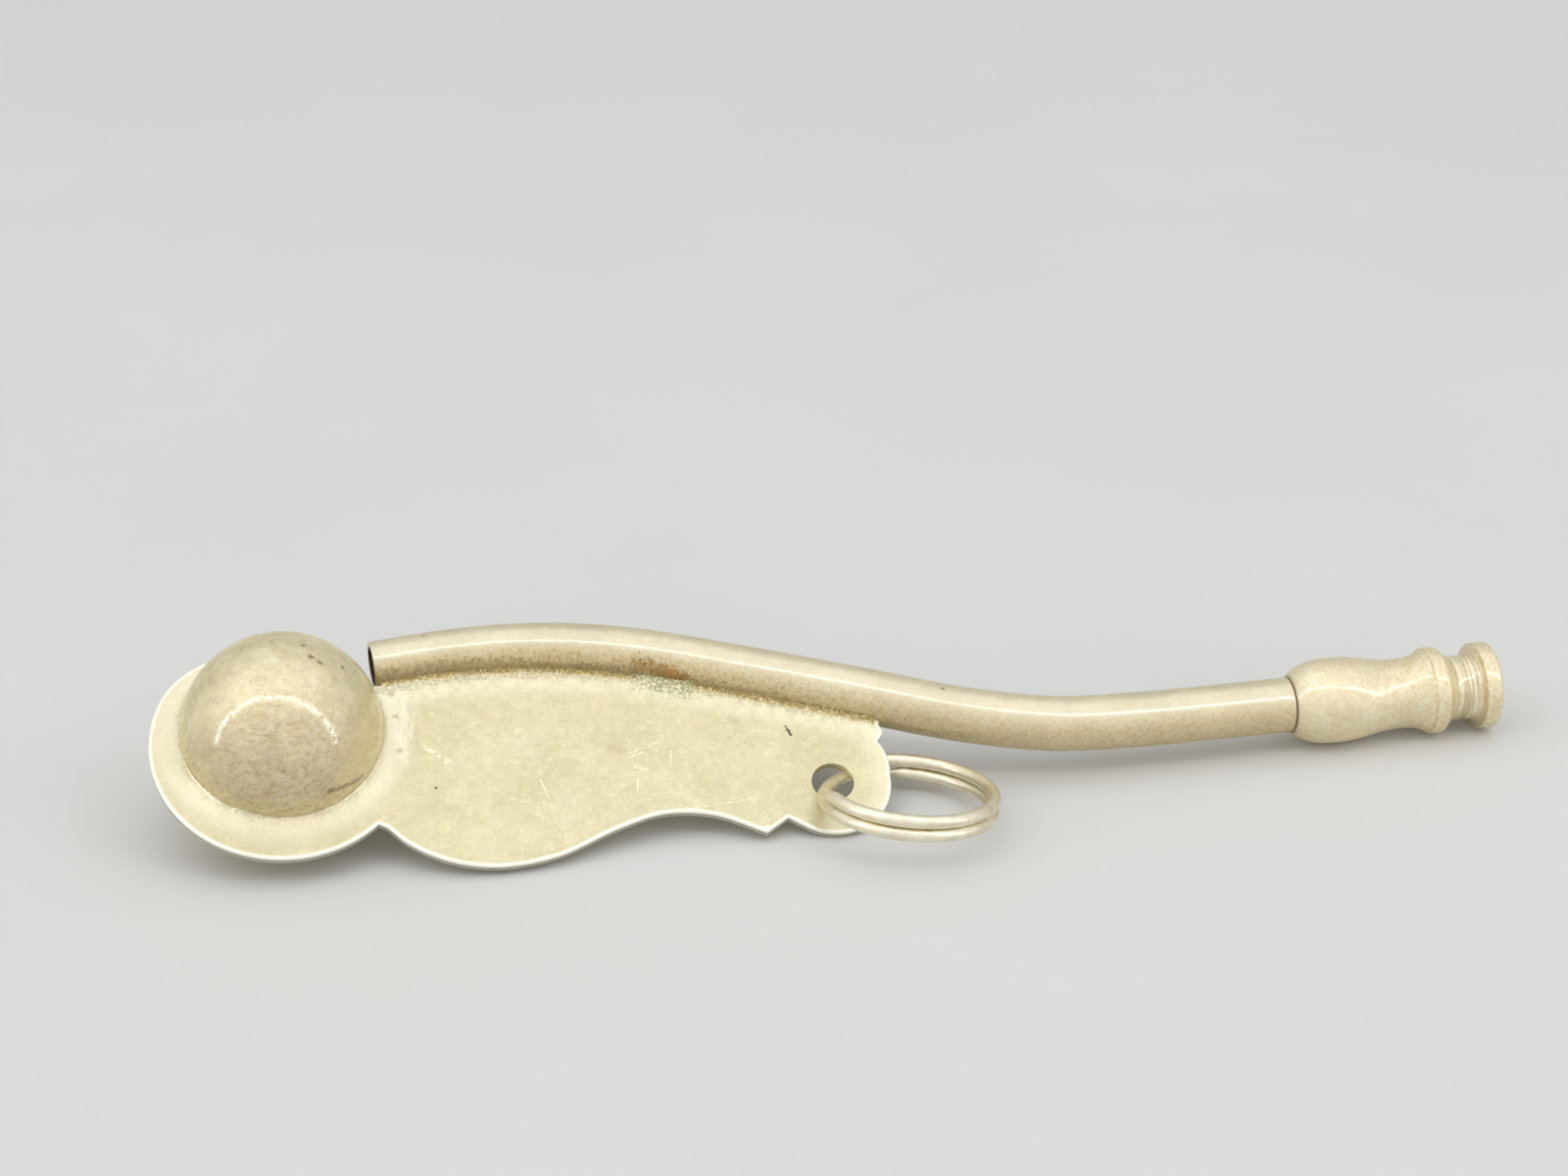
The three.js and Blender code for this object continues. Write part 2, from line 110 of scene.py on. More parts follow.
# Tube
TUBE_ROUTE = [
    (8.2, 6.6), (15.0, 7.5), (22.6, 7.78), (31.5, 6.81), (42.1, 4.29), (52.7, 1.46),
    (61.1, -0.84), (69.5, -2.23), (77.0, -2.2), (84.3, -1.76), (91.9, -1.23),
]
ROUTE_STEPS = 48  # between given points
TUBE_RADIUS = 2.53
TUBE_MOUTH_RADIUS = 2.26
TUBE_TAPER = 0.26  # share of the length over which the mouth end narrows
TUBE_WALL = 0.5
TUBE_STEPS = 220
TUBE_SIDES = 72
TUBE_ROUND, TUBE_SHARP = 0.07, 60  # its rims' rounding, and the degrees of an edge that takes it
ROUND_SEGMENTS = 3

# Mouthpiece, stations from the tube's end
SHOULDER_LIP = 0.12
BULB_RADIUS, BULB_AT = 3.95, 4.2
WAIST_RADIUS, WAIST_AT = 3.24, 10.9
COLLAR_RADIUS, COLLAR_AT, COLLAR_WIDTH = 4.02, 13.3, 1.2
NECK_RADIUS, NECK_WIDTH = 3.0, 2.2
NECK_RUN, FLANGE_RUN = 0.95, 0.4
FLANGE_RADIUS, FLANGE_WIDTH, FLANGE_CROWN = 4.0, 1.4, 0.35
FACE_RADIUS, BLOW_RADIUS, BORE_RADIUS = 2.7, 1.6, 1.25
SPIGOT_LENGTH, SPIGOT_FIT = 6, 0.01
JOINT_GAP = 0.06
TURNED_SIDES = 128

# Split ring
RING_WIRE = 1.2
RING_RADIUS = 7.5
RING_PITCH = 1.22
RING_SWING, RING_LIFT, RING_LEAN = -31, 18, 34  # degrees
RING_STEP = (15, 42)  # degrees past the eye where the wire climbs to the upper turn
RING_REAR_END, RING_FRONT_END = 45, 38  # degrees from the eye
RING_TIP = 2.2  # length of each ground end
RING_TIP_SHARE = 0.3  # the tip's thickness against the wire's
RING_STEPS = 420
RING_SIDES = 28
RING_ROUND, RING_SHARP = 0.12, 50

# Solder
TUBE_SOLDER_MOUTH, TUBE_SOLDER_TAIL = 0.5, 0.8  # how far the tube's fillets spread over the keel
TUBE_SOLDER_CLIMB = 0.6  # how far they climb the tube, against their spread
TUBE_SOLDER_START, TUBE_SOLDER_STOP = 0.4, 0.3  # short of the mouth and of the heel
BALL_SOLDER = 0.2
BALL_SOLDER_FROM = 10  # degrees past the start of the disc's rim
# How a fillet's spread wanders: how much, how fast, and where its noise is read
TUBE_SOLDER_WANDER = 0.3, 0.11, 3.0, 0.0
BALL_SOLDER_WANDER = 0.55, 0.07, 5.0, 1.0
SOLDER_SINK = 0.04  # how far a fillet runs into what it joins
SOLDER_STEP = 0.14  # between a fillet's sections
SOLDER_HOLLOW = 0.45  # how far a fillet's cheek is drawn in to the corner
SOLDER_ROUGH, SOLDER_LUMP, SOLDER_FULL = 0.06, 2.6, 0.5  # lumps: their height, scale and the spread for it
SOLDER_FRACTAL = 0.8, 2.0, 3
CHEEK_POINTS = 6
RESIDUE_ANGLE, RESIDUE_SPREAD, RESIDUE_SIZE = 246, 10, 0.3  # a lump of solder left beside the ball
GRAIN_SIZE, GRAIN_DENSITY = 0.06, 5  # radius, and grains on a square millimetre
GRAIN_LEAST, GRAIN_MOST = (0.35, 0.35, 0.25), (1.1, 1.1, 0.8)
GRAIN_SEED = 7
CRUMB_SIZE, CRUMB_DENSITY = 0.12, 9
CRUMB_REACH = 0.85
CRUMB_TIP = 0.01  # keeps the strip's pointed ends open
CRUMB_STEPS = 12

# Camera, from the photograph
CAMERA_AT = Vector((-0.0457, -0.2694, 0.1578))
CAMERA_AIM = Vector((-0.0004, 0.0358, 0.0040))
CAMERA_ROLL = -0.5
CAMERA_NEAREST = 0.01
LENS = 80.08

# Light: how bright each source looks, and an arch of strips over the ball
ROOM, ROOM_BEHIND, CEILING, ARCH = 1.0, 0.5, 0.3, 4.0
ROOM_SLANT, ROOM_DIMS = 0.15, (-0.7, 0.55)  # how the room's dimming leans, and where it starts and ends
CEILING_AT, CEILING_SIZE = Vector((0.0, 0.1, 0.7)), (1.0, 0.6)
ARCH_AT = Vector((-0.05, 0.0, 0.0))
ARCH_RADIUS, ARCH_NEARER, ARCH_WIDTH = 0.58, 0.22, 0.042
ARCH_STRIPS = 11
ARCH_FEET = 1.5  # how much brighter the arch is at its feet
FOOT_RISE, FOOT_SPREAD = 35, 60  # degrees; strips below this rise have narrow beams that miss the table
FULL_SPREAD = 180
TABLE_REACH = 1.5


def rad(degrees):
    return math.radians(degrees)


def polar(degrees, radius, centre=CENTRE):
    return centre + radius * Vector((math.cos(rad(degrees)), math.sin(rad(degrees))))


def blend(a, b, share):
    return a + (b - a) * share


def smooth(value, low, high):
    share = min(max((value - low) / (high - low), 0), 1)
    return share * share * (3 - 2 * share)


# The keel's own axes in the frame: its normal is the ring's swing axis, and its middle is the ball's centre.
def keel_axes():
    normal = Vector(frame["joints"][0]["axis"]).normalized()
    along = Vector((normal.z, 0, -normal.x)).normalized()
    across = normal.cross(along)
    corners = [corner for name in ("buoy_front_shell", "buoy_back_shell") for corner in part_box(name)]
    middle = [(min(values) + max(values)) / 2 for values in zip(*corners)]
    turn = Matrix((along, across, normal)).transposed()
    return Matrix.Translation(middle) @ turn.to_4x4() @ Matrix.Scale(MM, 4)


KEEL = keel_axes()


# A smooth line through given points, read by its share of length.
class Route:
    def __init__(self, points):
        self.points = smooth_line(points, ROUTE_STEPS)
        self.lengths = [0.0]
        for a, b in zip(self.points, self.points[1:]):
            self.lengths.append(self.lengths[-1] + (b - a).length)
        self.length = self.lengths[-1]

    def at(self, share):
        target = min(max(share, 0), 1) * self.length
        i = min(max(int(np.searchsorted(self.lengths, target)), 1), len(self.points) - 1)
        a, b = self.points[i - 1], self.points[i]
        span = self.lengths[i] - self.lengths[i - 1]
        return a.lerp(b, (target - self.lengths[i - 1]) / span), (b - a).normalized()

    def share_at(self, x):
        for i, point in enumerate(self.points):
            if point.x >= x:
                return self.lengths[i] / self.length
        return 1.0


def smooth_line(points, steps):
    points = [Vector(point).to_3d() for point in points]
    ends = [2 * points[0] - points[1], *points, 2 * points[-1] - points[-2]]
    line = []
    for p0, p1, p2, p3 in zip(ends, ends[1:], ends[2:], ends[3:]):
        t1 = math.sqrt((p1 - p0).length)
        t2 = t1 + math.sqrt((p2 - p1).length)
        t3 = t2 + math.sqrt((p3 - p2).length)
        for k in range(steps):
            t = blend(t1, t2, k / steps)
            a1 = p0.lerp(p1, t / t1)
            a2 = p1.lerp(p2, (t - t1) / (t2 - t1))
            a3 = p2.lerp(p3, (t - t2) / (t3 - t2))
            b1 = a1.lerp(a2, t / t2)
            b2 = a2.lerp(a3, (t - t1) / (t3 - t1))
            line.append(b1.lerp(b2, (t - t1) / (t2 - t1)))
    return [*line, points[-1]]


TUBE = Route(TUBE_ROUTE)


def tube_radius(share):
    return blend(TUBE_MOUTH_RADIUS, TUBE_RADIUS, smooth(share, 0, TUBE_TAPER))


def keelward(along):
    return along.cross(OUT)


# Meshes from rows of points
def new_piece(name, data):
    piece = bpy.data.objects.new(name, data)
    bpy.context.scene.collection.objects.link(piece)
    return piece


def mesh_from(bm, name):
    bmesh.ops.remove_doubles(bm, verts=bm.verts, dist=MERGE)
    bmesh.ops.recalc_face_normals(bm, faces=bm.faces)
    mesh = bpy.data.meshes.new(name)
    bm.to_mesh(mesh)
    bm.free()
    return mesh


def lay(mesh, place):
    mesh.transform(place)
    return mesh


def soften(piece, degrees=CRISP):
    piece.data.shade_smooth()
    piece.data.set_sharp_from_angle(angle=rad(degrees))


# Modifiers and node trees become a plain mesh.
def bake_down(piece):
    evaluated = piece.evaluated_get(bpy.context.evaluated_depsgraph_get())
    mesh = bpy.data.meshes.new_from_object(evaluated)
    piece.modifiers.clear()
    piece.data = mesh


def round_edges(piece, width, degrees):
    bevel = piece.modifiers.new("round", "BEVEL")
    bevel.width = width * MM
    bevel.segments = ROUND_SEGMENTS
    bevel.angle_limit = rad(degrees)
    bake_down(piece)


def skin(bm, rows, closed=True):
    for upper, lower in zip(rows, rows[1:]):
        count = len(upper)
        for j in range(count if closed else count - 1):
            k = (j + 1) % count
            corners = [upper[j], lower[j], lower[k], upper[k]]
            bm.faces.new(list(dict.fromkeys(corners)))


def lathe(profile, sides):
    bm = bmesh.new()
    rows = []
    for radius, height in profile:
        if radius < TINY:
            rows.append([bm.verts.new((0, 0, height))] * sides)
            continue
        turns = (2 * math.pi * j / sides for j in range(sides))
        rows.append([bm.verts.new((radius * math.cos(t), radius * math.sin(t), height)) for t in turns])
    skin(bm, rows)
    if profile[0][0] > TINY:
        skin(bm, [rows[-1], rows[0]])
    return bm


# Outlines on the keel's plane
def arc(centre, radius, start, end, step=EDGE_STEP):
    count = max(int(abs(rad(end - start)) * radius / step), 2)
    return [polar(blend(start, end, i / count), radius, centre) for i in range(count + 1)]


def bow(start, pull, end):
    count = max(int((end - start).length / EDGE_STEP), 2)
    shares = [i / count for i in range(1, count + 1)]
    return [start.lerp(pull, s).lerp(pull.lerp(end, s), s) for s in shares]


def evened(points):
    line = []
    for a, b in zip(points, [*points[1:], points[0]]):
        count = max(round((b - a).length / EDGE_STEP), 1)
        line.extend(a.lerp(b, i / count) for i in range(count))
    return line


def drawn(points, steps):
    return [point.to_2d() for point in smooth_line(points, steps)]


def keel_outline():
    last = TUBE.share_at(HEEL_END)
    seat = []
    for i in range(SEAT_STEPS, -1, -1):
        share = i / SEAT_STEPS * last
        point, along = TUBE.at(share)
        seat.append((point + keelward(along) * tube_radius(share)).to_2d())
    foot = math.degrees(math.atan2(seat[-1].y, seat[-1].x))
    start = polar(DISC_FROM, DISC_RADIUS, DISC_CENTRE)
    pull = start + polar(DISC_FROM - 90, RIM_PULL)
    runout = polar(RIM_RUNOUT, BALL_RADIUS)
    lobe = arc(EYE, LOBE_RADIUS, LOBE_FROM, LOBE_TO)
    return [
        *arc(CENTRE, BALL_RADIUS, foot, RIM_RUNOUT),
        *bow(runout, pull, start),
        *arc(DISC_CENTRE, DISC_RADIUS, DISC_FROM, DISC_TO)[1:],
        *drawn(BELLY, BELLY_STEPS),
        TAIL_NOTCH,
        *lobe,
        *bow(lobe[-1], HEEL_SWELL, Vector(HEEL[0])),
        *drawn(HEEL, HEEL_STEPS)[1:],
        *seat,
    ]


# A line drawn into the metal that lies on its left.
def inset(line, depth):
    moved = []
    for before, point, after in zip([line[-1], *line], line, [*line[1:], line[0]]):
        first, second = (point - before).normalized(), (after - point).normalized()
        side = Vector((-first.y, first.x))
        middle = (side + Vector((-second.y, second.x))).normalized()
        moved.append(point + middle * (depth / max(middle.dot(side), MITRE_LIMIT)))
    return moved


def distances(points, line):
    points, line = np.array(points), np.array(line)
    return np.array([np.sqrt(((line - point) ** 2).sum(1).min()) for point in points])


def inside(points, line):
    x, y = np.array(points).T
    found = np.zeros(len(x), bool)
    for a, b in zip(line, [*line[1:], line[0]]):
        if a.y == b.y:
            continue
        crosses = (y < a.y) != (y < b.y)
        found ^= crosses & (x < a.x + (y - a.y) / (b.y - a.y) * (b.x - a.x))
    return found


def keel_plate():
    outline = evened(keel_outline())
    eye = arc(EYE, EYE_RADIUS, 360, 0, EYE_STEP)[:-1]
    chamber = arc(CENTRE, CHAMBER_RADIUS, 360, 0)[:-1]
    edges = [(outline, BLANKED_EDGE), (eye, PUNCHED_EDGE), (chamber, PLAIN_EDGE)]
    bm = bmesh.new()
    ends = {FACE: [], -FACE: []}
    for line, profile in edges:
        rows = []
        for depth, height in profile:
            rows.append([bm.verts.new((*point, height)) for point in inset(line, depth)])
        skin(bm, rows)
        ends[FACE].append(rows[0])
        ends[-FACE].append(rows[-1])
    spans = zip(np.min(outline, axis=0), np.max(outline, axis=0))
    columns, lines = (np.arange(*span, MESH_STEP) for span in spans)
    grid = [Vector((x, y)) for x in columns for y in lines]
    clear = inside(grid, outline)
    for line, _ in edges:
        clear &= distances(grid, line) > MESH_CLEAR
    for centre, radius in ((EYE, EYE_RADIUS), (CENTRE, CHAMBER_RADIUS)):
        clear &= np.array([(point - centre).length > radius for point in grid])
    for height, rings in ends.items():
        fill_face(bm, rings, [point for point, keep in zip(grid, clear) if keep], height)
    mesh = mesh_from(bm, "keel")
    store_keel_distances(mesh, outline)
    return lay(mesh, KEEL)


def fill_face(bm, rings, grid, height):
    verts = [vert for ring in rings for vert in ring]
    holes = [set(ring) for ring in rings[1:]]
    edges = []
    start = 0
    for ring in rings:
        edges.extend((start + j, start + (j + 1) % len(ring)) for j in range(len(ring)))
        start += len(ring)
    verts.extend(bm.verts.new((*point, height)) for point in grid)
    flat = [vert.co.to_2d() for vert in verts]
    _, _, faces, sources, _, _ = delaunay_2d_cdt(flat, edges, [], INSIDE, TINY)
    for face in faces:
        corners = [verts[sources[i][0]] for i in face]
        if not any(hole.issuperset(corners) for hole in holes):
            bm.faces.new(corners)


# Millimetres from each point of the keel to its free edge and to the tube's joint, for the wear there
def store_keel_distances(mesh, outline):
    flat = [vert.co.to_2d() for vert in mesh.vertices]
    axis = [point.to_2d() for point in TUBE.points]
    layers = {"rim": distances(flat, outline), "seam": distances(flat, axis) - TUBE_RADIUS}
    for name, values in layers.items():
        layer = mesh.attributes.new(name, "FLOAT", "POINT")
        layer.data.foreach_set("value", values.astype(np.float32))


def open_window(piece):
    near, far = WINDOW_REACH
    bm = lathe([(0, near), (WINDOW_RADIUS, near), (WINDOW_RADIUS, far), (0, far)], WINDOW_SIDES)
    cutter = new_piece("cutter", mesh_from(bm, "cutter"))
    aim = Matrix.Rotation(rad(WINDOW_ANGLE), 4, "Z") @ Matrix.Rotation(rad(90), 4, "Y")
    lay(cutter.data, KEEL @ aim)
    cut = piece.modifiers.new("window", "BOOLEAN")
    cut.object = cutter
    cut.solver = "EXACT"
    bake_down(piece)
    bpy.data.objects.remove(cutter)


def ball_shell(side):
    seat = FACE - SOLDER_SINK
    profile = []
    for radius, order in ((CHAMBER_RADIUS, -1), (BALL_RADIUS, 1)):
        rim = math.asin(seat / radius)
        turns = [blend(rim, math.pi / 2, i / BALL_RINGS) for i in range(BALL_RINGS)]
        half = [*((radius * math.cos(t), radius * math.sin(t)) for t in turns), (0, radius)]
        profile.extend(half[::order])
    mesh = mesh_from(lathe(profile, BALL_SIDES), "shell")
    turn = Matrix.Rotation(0 if side > 0 else math.pi, 4, "X")
    return lay(mesh, KEEL @ turn)


# Node trees: an operator between wires or numbers adds one Math node.
def operator(operation, swapped=False):
    def node(wire, *others):
        values = (wire, *others)
        return wire.bench.math(operation, *(values[::-1] if swapped else values))

    return node


class Wire:
    """An output socket whose sums and products add Math nodes to its own tree."""

    def __init__(self, bench, socket):
        self.bench = bench
        self.socket = socket

    def sibling(self, output):
        return Wire(self.bench, self.socket.node.outputs[output])

    __add__ = __radd__ = operator("ADD")
    __sub__ = operator("SUBTRACT")
    __rsub__ = operator("SUBTRACT", swapped=True)
    __mul__ = __rmul__ = operator("MULTIPLY")
    __truediv__ = operator("DIVIDE")
    __abs__ = operator("ABSOLUTE")


class Bench:
    """Adds nodes to one tree: a node's type, its settings, then what its sockets hold or are fed by."""

    def __init__(self, tree):
        self.tree = tree

    def add(self, kind, settings=None, sockets=None, output=0):
        node = self.tree.nodes.new(kind)
        for key, value in (settings or {}).items():
            setattr(node, key, value)
        for key, value in (sockets or {}).items():
            self.feed(node.inputs[key], value)
        return Wire(self, node.outputs[output]) if node.outputs else node

    def feed(self, socket, value):
        if isinstance(value, Wire):
            self.tree.links.new(value.socket, socket)
        else:
            socket.default_value = value

    def math(self, operation, *values):
        return self.add("ShaderNodeMath", {"operation": operation}, dict(enumerate(values)))

    def most(self, first, *others):
        for other in others:
            first = self.math("MAXIMUM", first, other)
        return first

    def vector(self, operation, *values, output=0):
        return self.add("ShaderNodeVectorMath", {"operation": operation}, dict(enumerate(values)), output)

    def ease(self, value, low, high, start=0.0, end=1.0):
        sockets = {0: value, 1: low, 2: high, 3: start, 4: end}
        return self.add("ShaderNodeMapRange", {"interpolation_type": "SMOOTHSTEP"}, sockets)

    def split(self, vector):
        first = self.add("ShaderNodeSeparateXYZ", None, {0: vector})
        return [first.sibling(i) for i in range(3)]


# Geometry Nodes that sweep a round section along a line of points, or scatter grains
class Sweep(Bench):
    def __init__(self, name):
        super().__init__(bpy.data.node_groups.new(name, "GeometryNodeTree"))
        self.sizes = {}
        for way in ("INPUT", "OUTPUT"):
            self.tree.interface.new_socket("Geometry", in_out=way, socket_type="NodeSocketGeometry")
        self.entry = self.tree.nodes.new("NodeGroupInput")

    def size(self, name, value, kind="Float"):
        socket = self.tree.interface.new_socket(name, in_out="INPUT", socket_type=f"NodeSocket{kind}")
        self.sizes[socket.identifier] = value
        return Wire(self, self.entry.outputs[name])

    def start(self):
        return Wire(self, self.entry.outputs["Geometry"])

    def rail(self):
        return self.add("GeometryNodeMeshToCurve", None, {0: self.start()})

    def wall(self, rail, sides, radius, caps=False):
        section = self.add("GeometryNodeCurvePrimitiveCircle", None, {"Resolution": sides, "Radius": 1.0})
        sockets = {"Curve": rail, "Profile Curve": section, "Scale": radius, "Fill Caps": caps}
        return self.add("GeometryNodeCurveToMesh", None, sockets)

    def store(self, geometry, name, value, kind="FLOAT"):
        sockets = {"Geometry": geometry, "Name": name, "Value": value}
        return self.add("GeometryNodeStoreNamedAttribute", {"data_type": kind, "domain": "POINT"}, sockets)

    def finish(self, geometry, material, piece):
        whole = self.add("GeometryNodeRealizeInstances", None, {"Geometry": geometry})
        dressed = self.add("GeometryNodeSetMaterial", None, {"Geometry": whole, "Material": material})
        self.add("NodeGroupOutput", None, {"Geometry": dressed})
        modifier = piece.modifiers.new("sweep", "NODES")
        modifier.node_group = self.tree
        for identifier, value in self.sizes.items():
            modifier[identifier] = value
        bake_down(piece)


def line_piece(name, points, place):
    mesh = bpy.data.meshes.new(name)
    count = len(points)
    mesh.from_pydata([place @ point for point in points], [(i, i + 1) for i in range(count - 1)], [])
    return new_piece(name, mesh)


def tube_piece(material, bore_shade):
    piece = line_piece("blowing_tube", TUBE.points, KEEL)
    sweep = Sweep("drawn tube")
    body = sweep.size("Body radius", TUBE_RADIUS * MM)
    mouth = sweep.size("Mouth radius", TUBE_MOUTH_RADIUS * MM)
    taper = sweep.size("Taper", TUBE_TAPER)
    steps = sweep.size("Steps", TUBE_STEPS, "Int")
    sides = sweep.size("Sides", TUBE_SIDES, "Int")
    normal = sweep.size("Keel normal", KEEL.col[2].to_3d().normalized(), "Vector")
    rail = sweep.add("GeometryNodeResampleCurve", None, {"Curve": sweep.rail(), "Count": steps})
    share = sweep.add("GeometryNodeSplineParameter")
    # The axis, its direction and its length are kept on the rail, so that the wall can read them.
    rail = sweep.store(rail, "axis", sweep.add("GeometryNodeInputPosition"), "FLOAT_VECTOR")
    rail = sweep.store(rail, "run", sweep.add("GeometryNodeInputTangent"), "FLOAT_VECTOR")
    rail = sweep.store(rail, "along", share.sibling(1) / MM)
    wall = sweep.wall(rail, sides, sweep.ease(share, 0.0, taper, mouth, body))

    def kept(name):
        return sweep.add("GeometryNodeInputNamedAttribute", {"data_type": "FLOAT_VECTOR"}, {"Name": name})

    offset = sweep.vector("SUBTRACT", sweep.add("GeometryNodeInputPosition"), kept("axis"))
    outward = sweep.vector("NORMALIZE", offset)
    below = sweep.vector("CROSS_PRODUCT", kept("run"), normal)
    wall = sweep.store(wall, "keelward", sweep.vector("DOT_PRODUCT", outward, below, output=1))
    sweep.finish(wall, material, piece)
    for name in ("axis", "run"):
        piece.data.attributes.remove(piece.data.attributes[name])
    face_out(piece)
    # The inner wall takes the near-black bore material: oxide with painted shade.
    piece.data.materials.append(bore_shade)
    thicken = piece.modifiers.new("wall", "SOLIDIFY")
    thicken.thickness = TUBE_WALL * MM
    thicken.offset = -1
    thicken.material_offset = 1
    round_edges(piece, TUBE_ROUND, TUBE_SHARP)
    return piece


# An open tube wall is turned so that its faces look away from its axis.
def face_out(piece):
    bm = bmesh.new()
    bm.from_mesh(piece.data)
    bm.faces.ensure_lookup_table()
    face = bm.faces[0]
    near = min(TUBE.points, key=lambda point: (KEEL @ point - face.calc_center_median()).length)
    if face.normal.dot(face.calc_center_median() - KEEL @ near) < 0:
        bmesh.ops.reverse_faces(bm, faces=bm.faces)
    bm.to_mesh(piece.data)
    bm.free()


# Split ring: its own axes run from the eye to the ring's middle, along the wire at the eye, and across it.
RING = (
    KEEL
    @ Matrix.Translation(EYE.to_3d())
    @ Matrix.Rotation(rad(RING_SWING), 4, "Z")
    @ Matrix.Rotation(rad(-RING_LIFT), 4, "Y")
    @ Matrix.Rotation(rad(-RING_LEAN), 4, "X")
)


def ring_line():
    last = 720 - RING_FRONT_END
    points = []
    for i in range(RING_STEPS + 1):
        angle = blend(RING_REAR_END, last, i / RING_STEPS)
        climb = RING_PITCH * smooth(angle, 360 + RING_STEP[0], 360 + RING_STEP[1])
        turn = rad(angle)
        points.append(Vector((RING_RADIUS * (1 - math.cos(turn)), RING_RADIUS * math.sin(turn), climb)))
    return points


def ring_piece(material):
    piece = line_piece("lanyard_ring", ring_line(), RING)
    sweep = Sweep("spring wire")
    wire = sweep.size("Wire radius", RING_WIRE / 2 * MM)
    tip = sweep.size("Ground end", RING_TIP * MM)
    thin = sweep.size("Tip share", RING_TIP_SHARE)
    sides = sweep.size("Sides", RING_SIDES, "Int")
    run = sweep.add("GeometryNodeSplineParameter", output=1)
    nearest = sweep.math("MINIMUM", run, sweep.add("GeometryNodeSplineLength") - run)
    share = sweep.ease(nearest, 0.0, tip, thin, 1.0)
    sweep.finish(sweep.wall(sweep.rail(), sides, wire * share, caps=True), material, piece)
    round_edges(piece, RING_ROUND, RING_SHARP)
    return piece


# Mouthpiece
def curve_points(points, count):
    line = []
    for i in range(1, count + 1):
        row = [Vector(point) for point in points]
        while len(row) > 1:
            row = [a.lerp(b, i / count) for a, b in zip(row, row[1:])]
        line.append(tuple(row[0]))
    return line


def mouthpiece_profile():
    collar_end = COLLAR_AT + COLLAR_WIDTH
    neck_from = collar_end + NECK_RUN
    neck_to = neck_from + NECK_WIDTH
    flange_from = neck_to + FLANGE_RUN
    flange_to = flange_from + FLANGE_WIDTH
    face = flange_to + FLANGE_CROWN
    spigot = TUBE_RADIUS - TUBE_WALL - SPIGOT_FIT
    shoulder = TUBE_RADIUS + SHOULDER_LIP
    half_way = (BULB_AT + WAIST_AT) / 2
    flare = (WAIST_AT + COLLAR_AT) / 2
    # Each run has a count of points and the places, radius and station, that draw its curve on from the last.
    runs = [
        (1, (spigot, -SPIGOT_LENGTH)),
        (1, (spigot, JOINT_GAP)),
        (1, (shoulder - 0.15, JOINT_GAP)),
        (1, (shoulder - 0.04, JOINT_GAP + 0.03)),
        (1, (shoulder, JOINT_GAP + 0.1)),
        (28, (BULB_RADIUS * 0.9, BULB_AT * 0.22), (BULB_RADIUS, BULB_AT * 0.55), (BULB_RADIUS, BULB_AT)),
        (34, (BULB_RADIUS, half_way), (WAIST_RADIUS, half_way), (WAIST_RADIUS, WAIST_AT)),
        (14, (WAIST_RADIUS, flare), (COLLAR_RADIUS - 0.22, COLLAR_AT - 0.25)),
        # A fine turned step sets the collar off from the flare.
        (1, (COLLAR_RADIUS - 0.24, COLLAR_AT - 0.18)),
        (1, (COLLAR_RADIUS - 0.2, COLLAR_AT - 0.12)),
        (6, (COLLAR_RADIUS, COLLAR_AT - 0.1), (COLLAR_RADIUS, COLLAR_AT + 0.1)),
        (1, (COLLAR_RADIUS, collar_end - 0.25)),
        (6, (COLLAR_RADIUS, collar_end), (COLLAR_RADIUS - 0.25, collar_end + 0.15)),
        (10, (NECK_RADIUS + 0.05, neck_from - 0.1), (NECK_RADIUS, neck_from + 0.2)),
        (1, (NECK_RADIUS - 0.03, (neck_from + neck_to) / 2 - 0.2)),
        (1, (NECK_RADIUS, neck_to - 0.5)),
        (12, (NECK_RADIUS, flange_from - 0.1), (FLANGE_RADIUS - 0.12, flange_from)),
        (4, (FLANGE_RADIUS, flange_from), (FLANGE_RADIUS, flange_from + 0.15)),
        (1, (FLANGE_RADIUS, flange_to - 0.1)),
        (14, (FLANGE_RADIUS - 0.05, face), (FACE_RADIUS, face)),
        (1, (BLOW_RADIUS + 0.12, face)),
        (1, (BLOW_RADIUS + 0.03, face - 0.03)),
        (1, (BLOW_RADIUS, face - 0.12)),
        (1, (BORE_RADIUS, flange_from)),
    ]
    line = [(BORE_RADIUS, -SPIGOT_LENGTH)]
    for count, *places in runs:
        line += curve_points([line[-1], *places], count)
    return line


def mouthpiece_axes():
    end, along = TUBE.at(1)
    turn = Matrix((OUT.cross(along), OUT, along)).transposed()
    return KEEL @ Matrix.Translation(end) @ turn.to_4x4()


MOUTHPIECE = mouthpiece_axes()


# Solder fillets: a rough hollow cheek between a round body and the keel's face
def fillet_row(centre, outward, radius, spread, side, climb=1):
    low = FACE - SOLDER_SINK
    skin_radius = radius - SOLDER_SINK
    start = math.asin(low / skin_radius)
    end = start + (spread * climb + SOLDER_SINK) / skin_radius
    corner = Vector((math.cos(start), math.sin(start))) * skin_radius
    crest = Vector((math.cos(end), math.sin(end))) * skin_radius
    toe = Vector((corner.x + spread + SOLDER_SINK, low))
    hollow = toe.lerp(crest, 0.5).lerp(corner, SOLDER_HOLLOW)
    cheek = [toe, *(Vector(point) for point in curve_points([toe, hollow, crest], CHEEK_POINTS))]
    inner = corner - Vector((SOLDER_SINK, SOLDER_SINK))
    row = []
    for i, point in enumerate([inner, *cheek]):
        place = centre + outward * point.x + OUT * (side * point.y)
        if 0 < i < len(cheek):
            lump = SOLDER_ROUGH * noise.fractal(place * SOLDER_LUMP, *SOLDER_FRACTAL)
            place += (outward + OUT * side).normalized() * (lump * min(spread / SOLDER_FULL, 1))
        row.append(place)
    return row


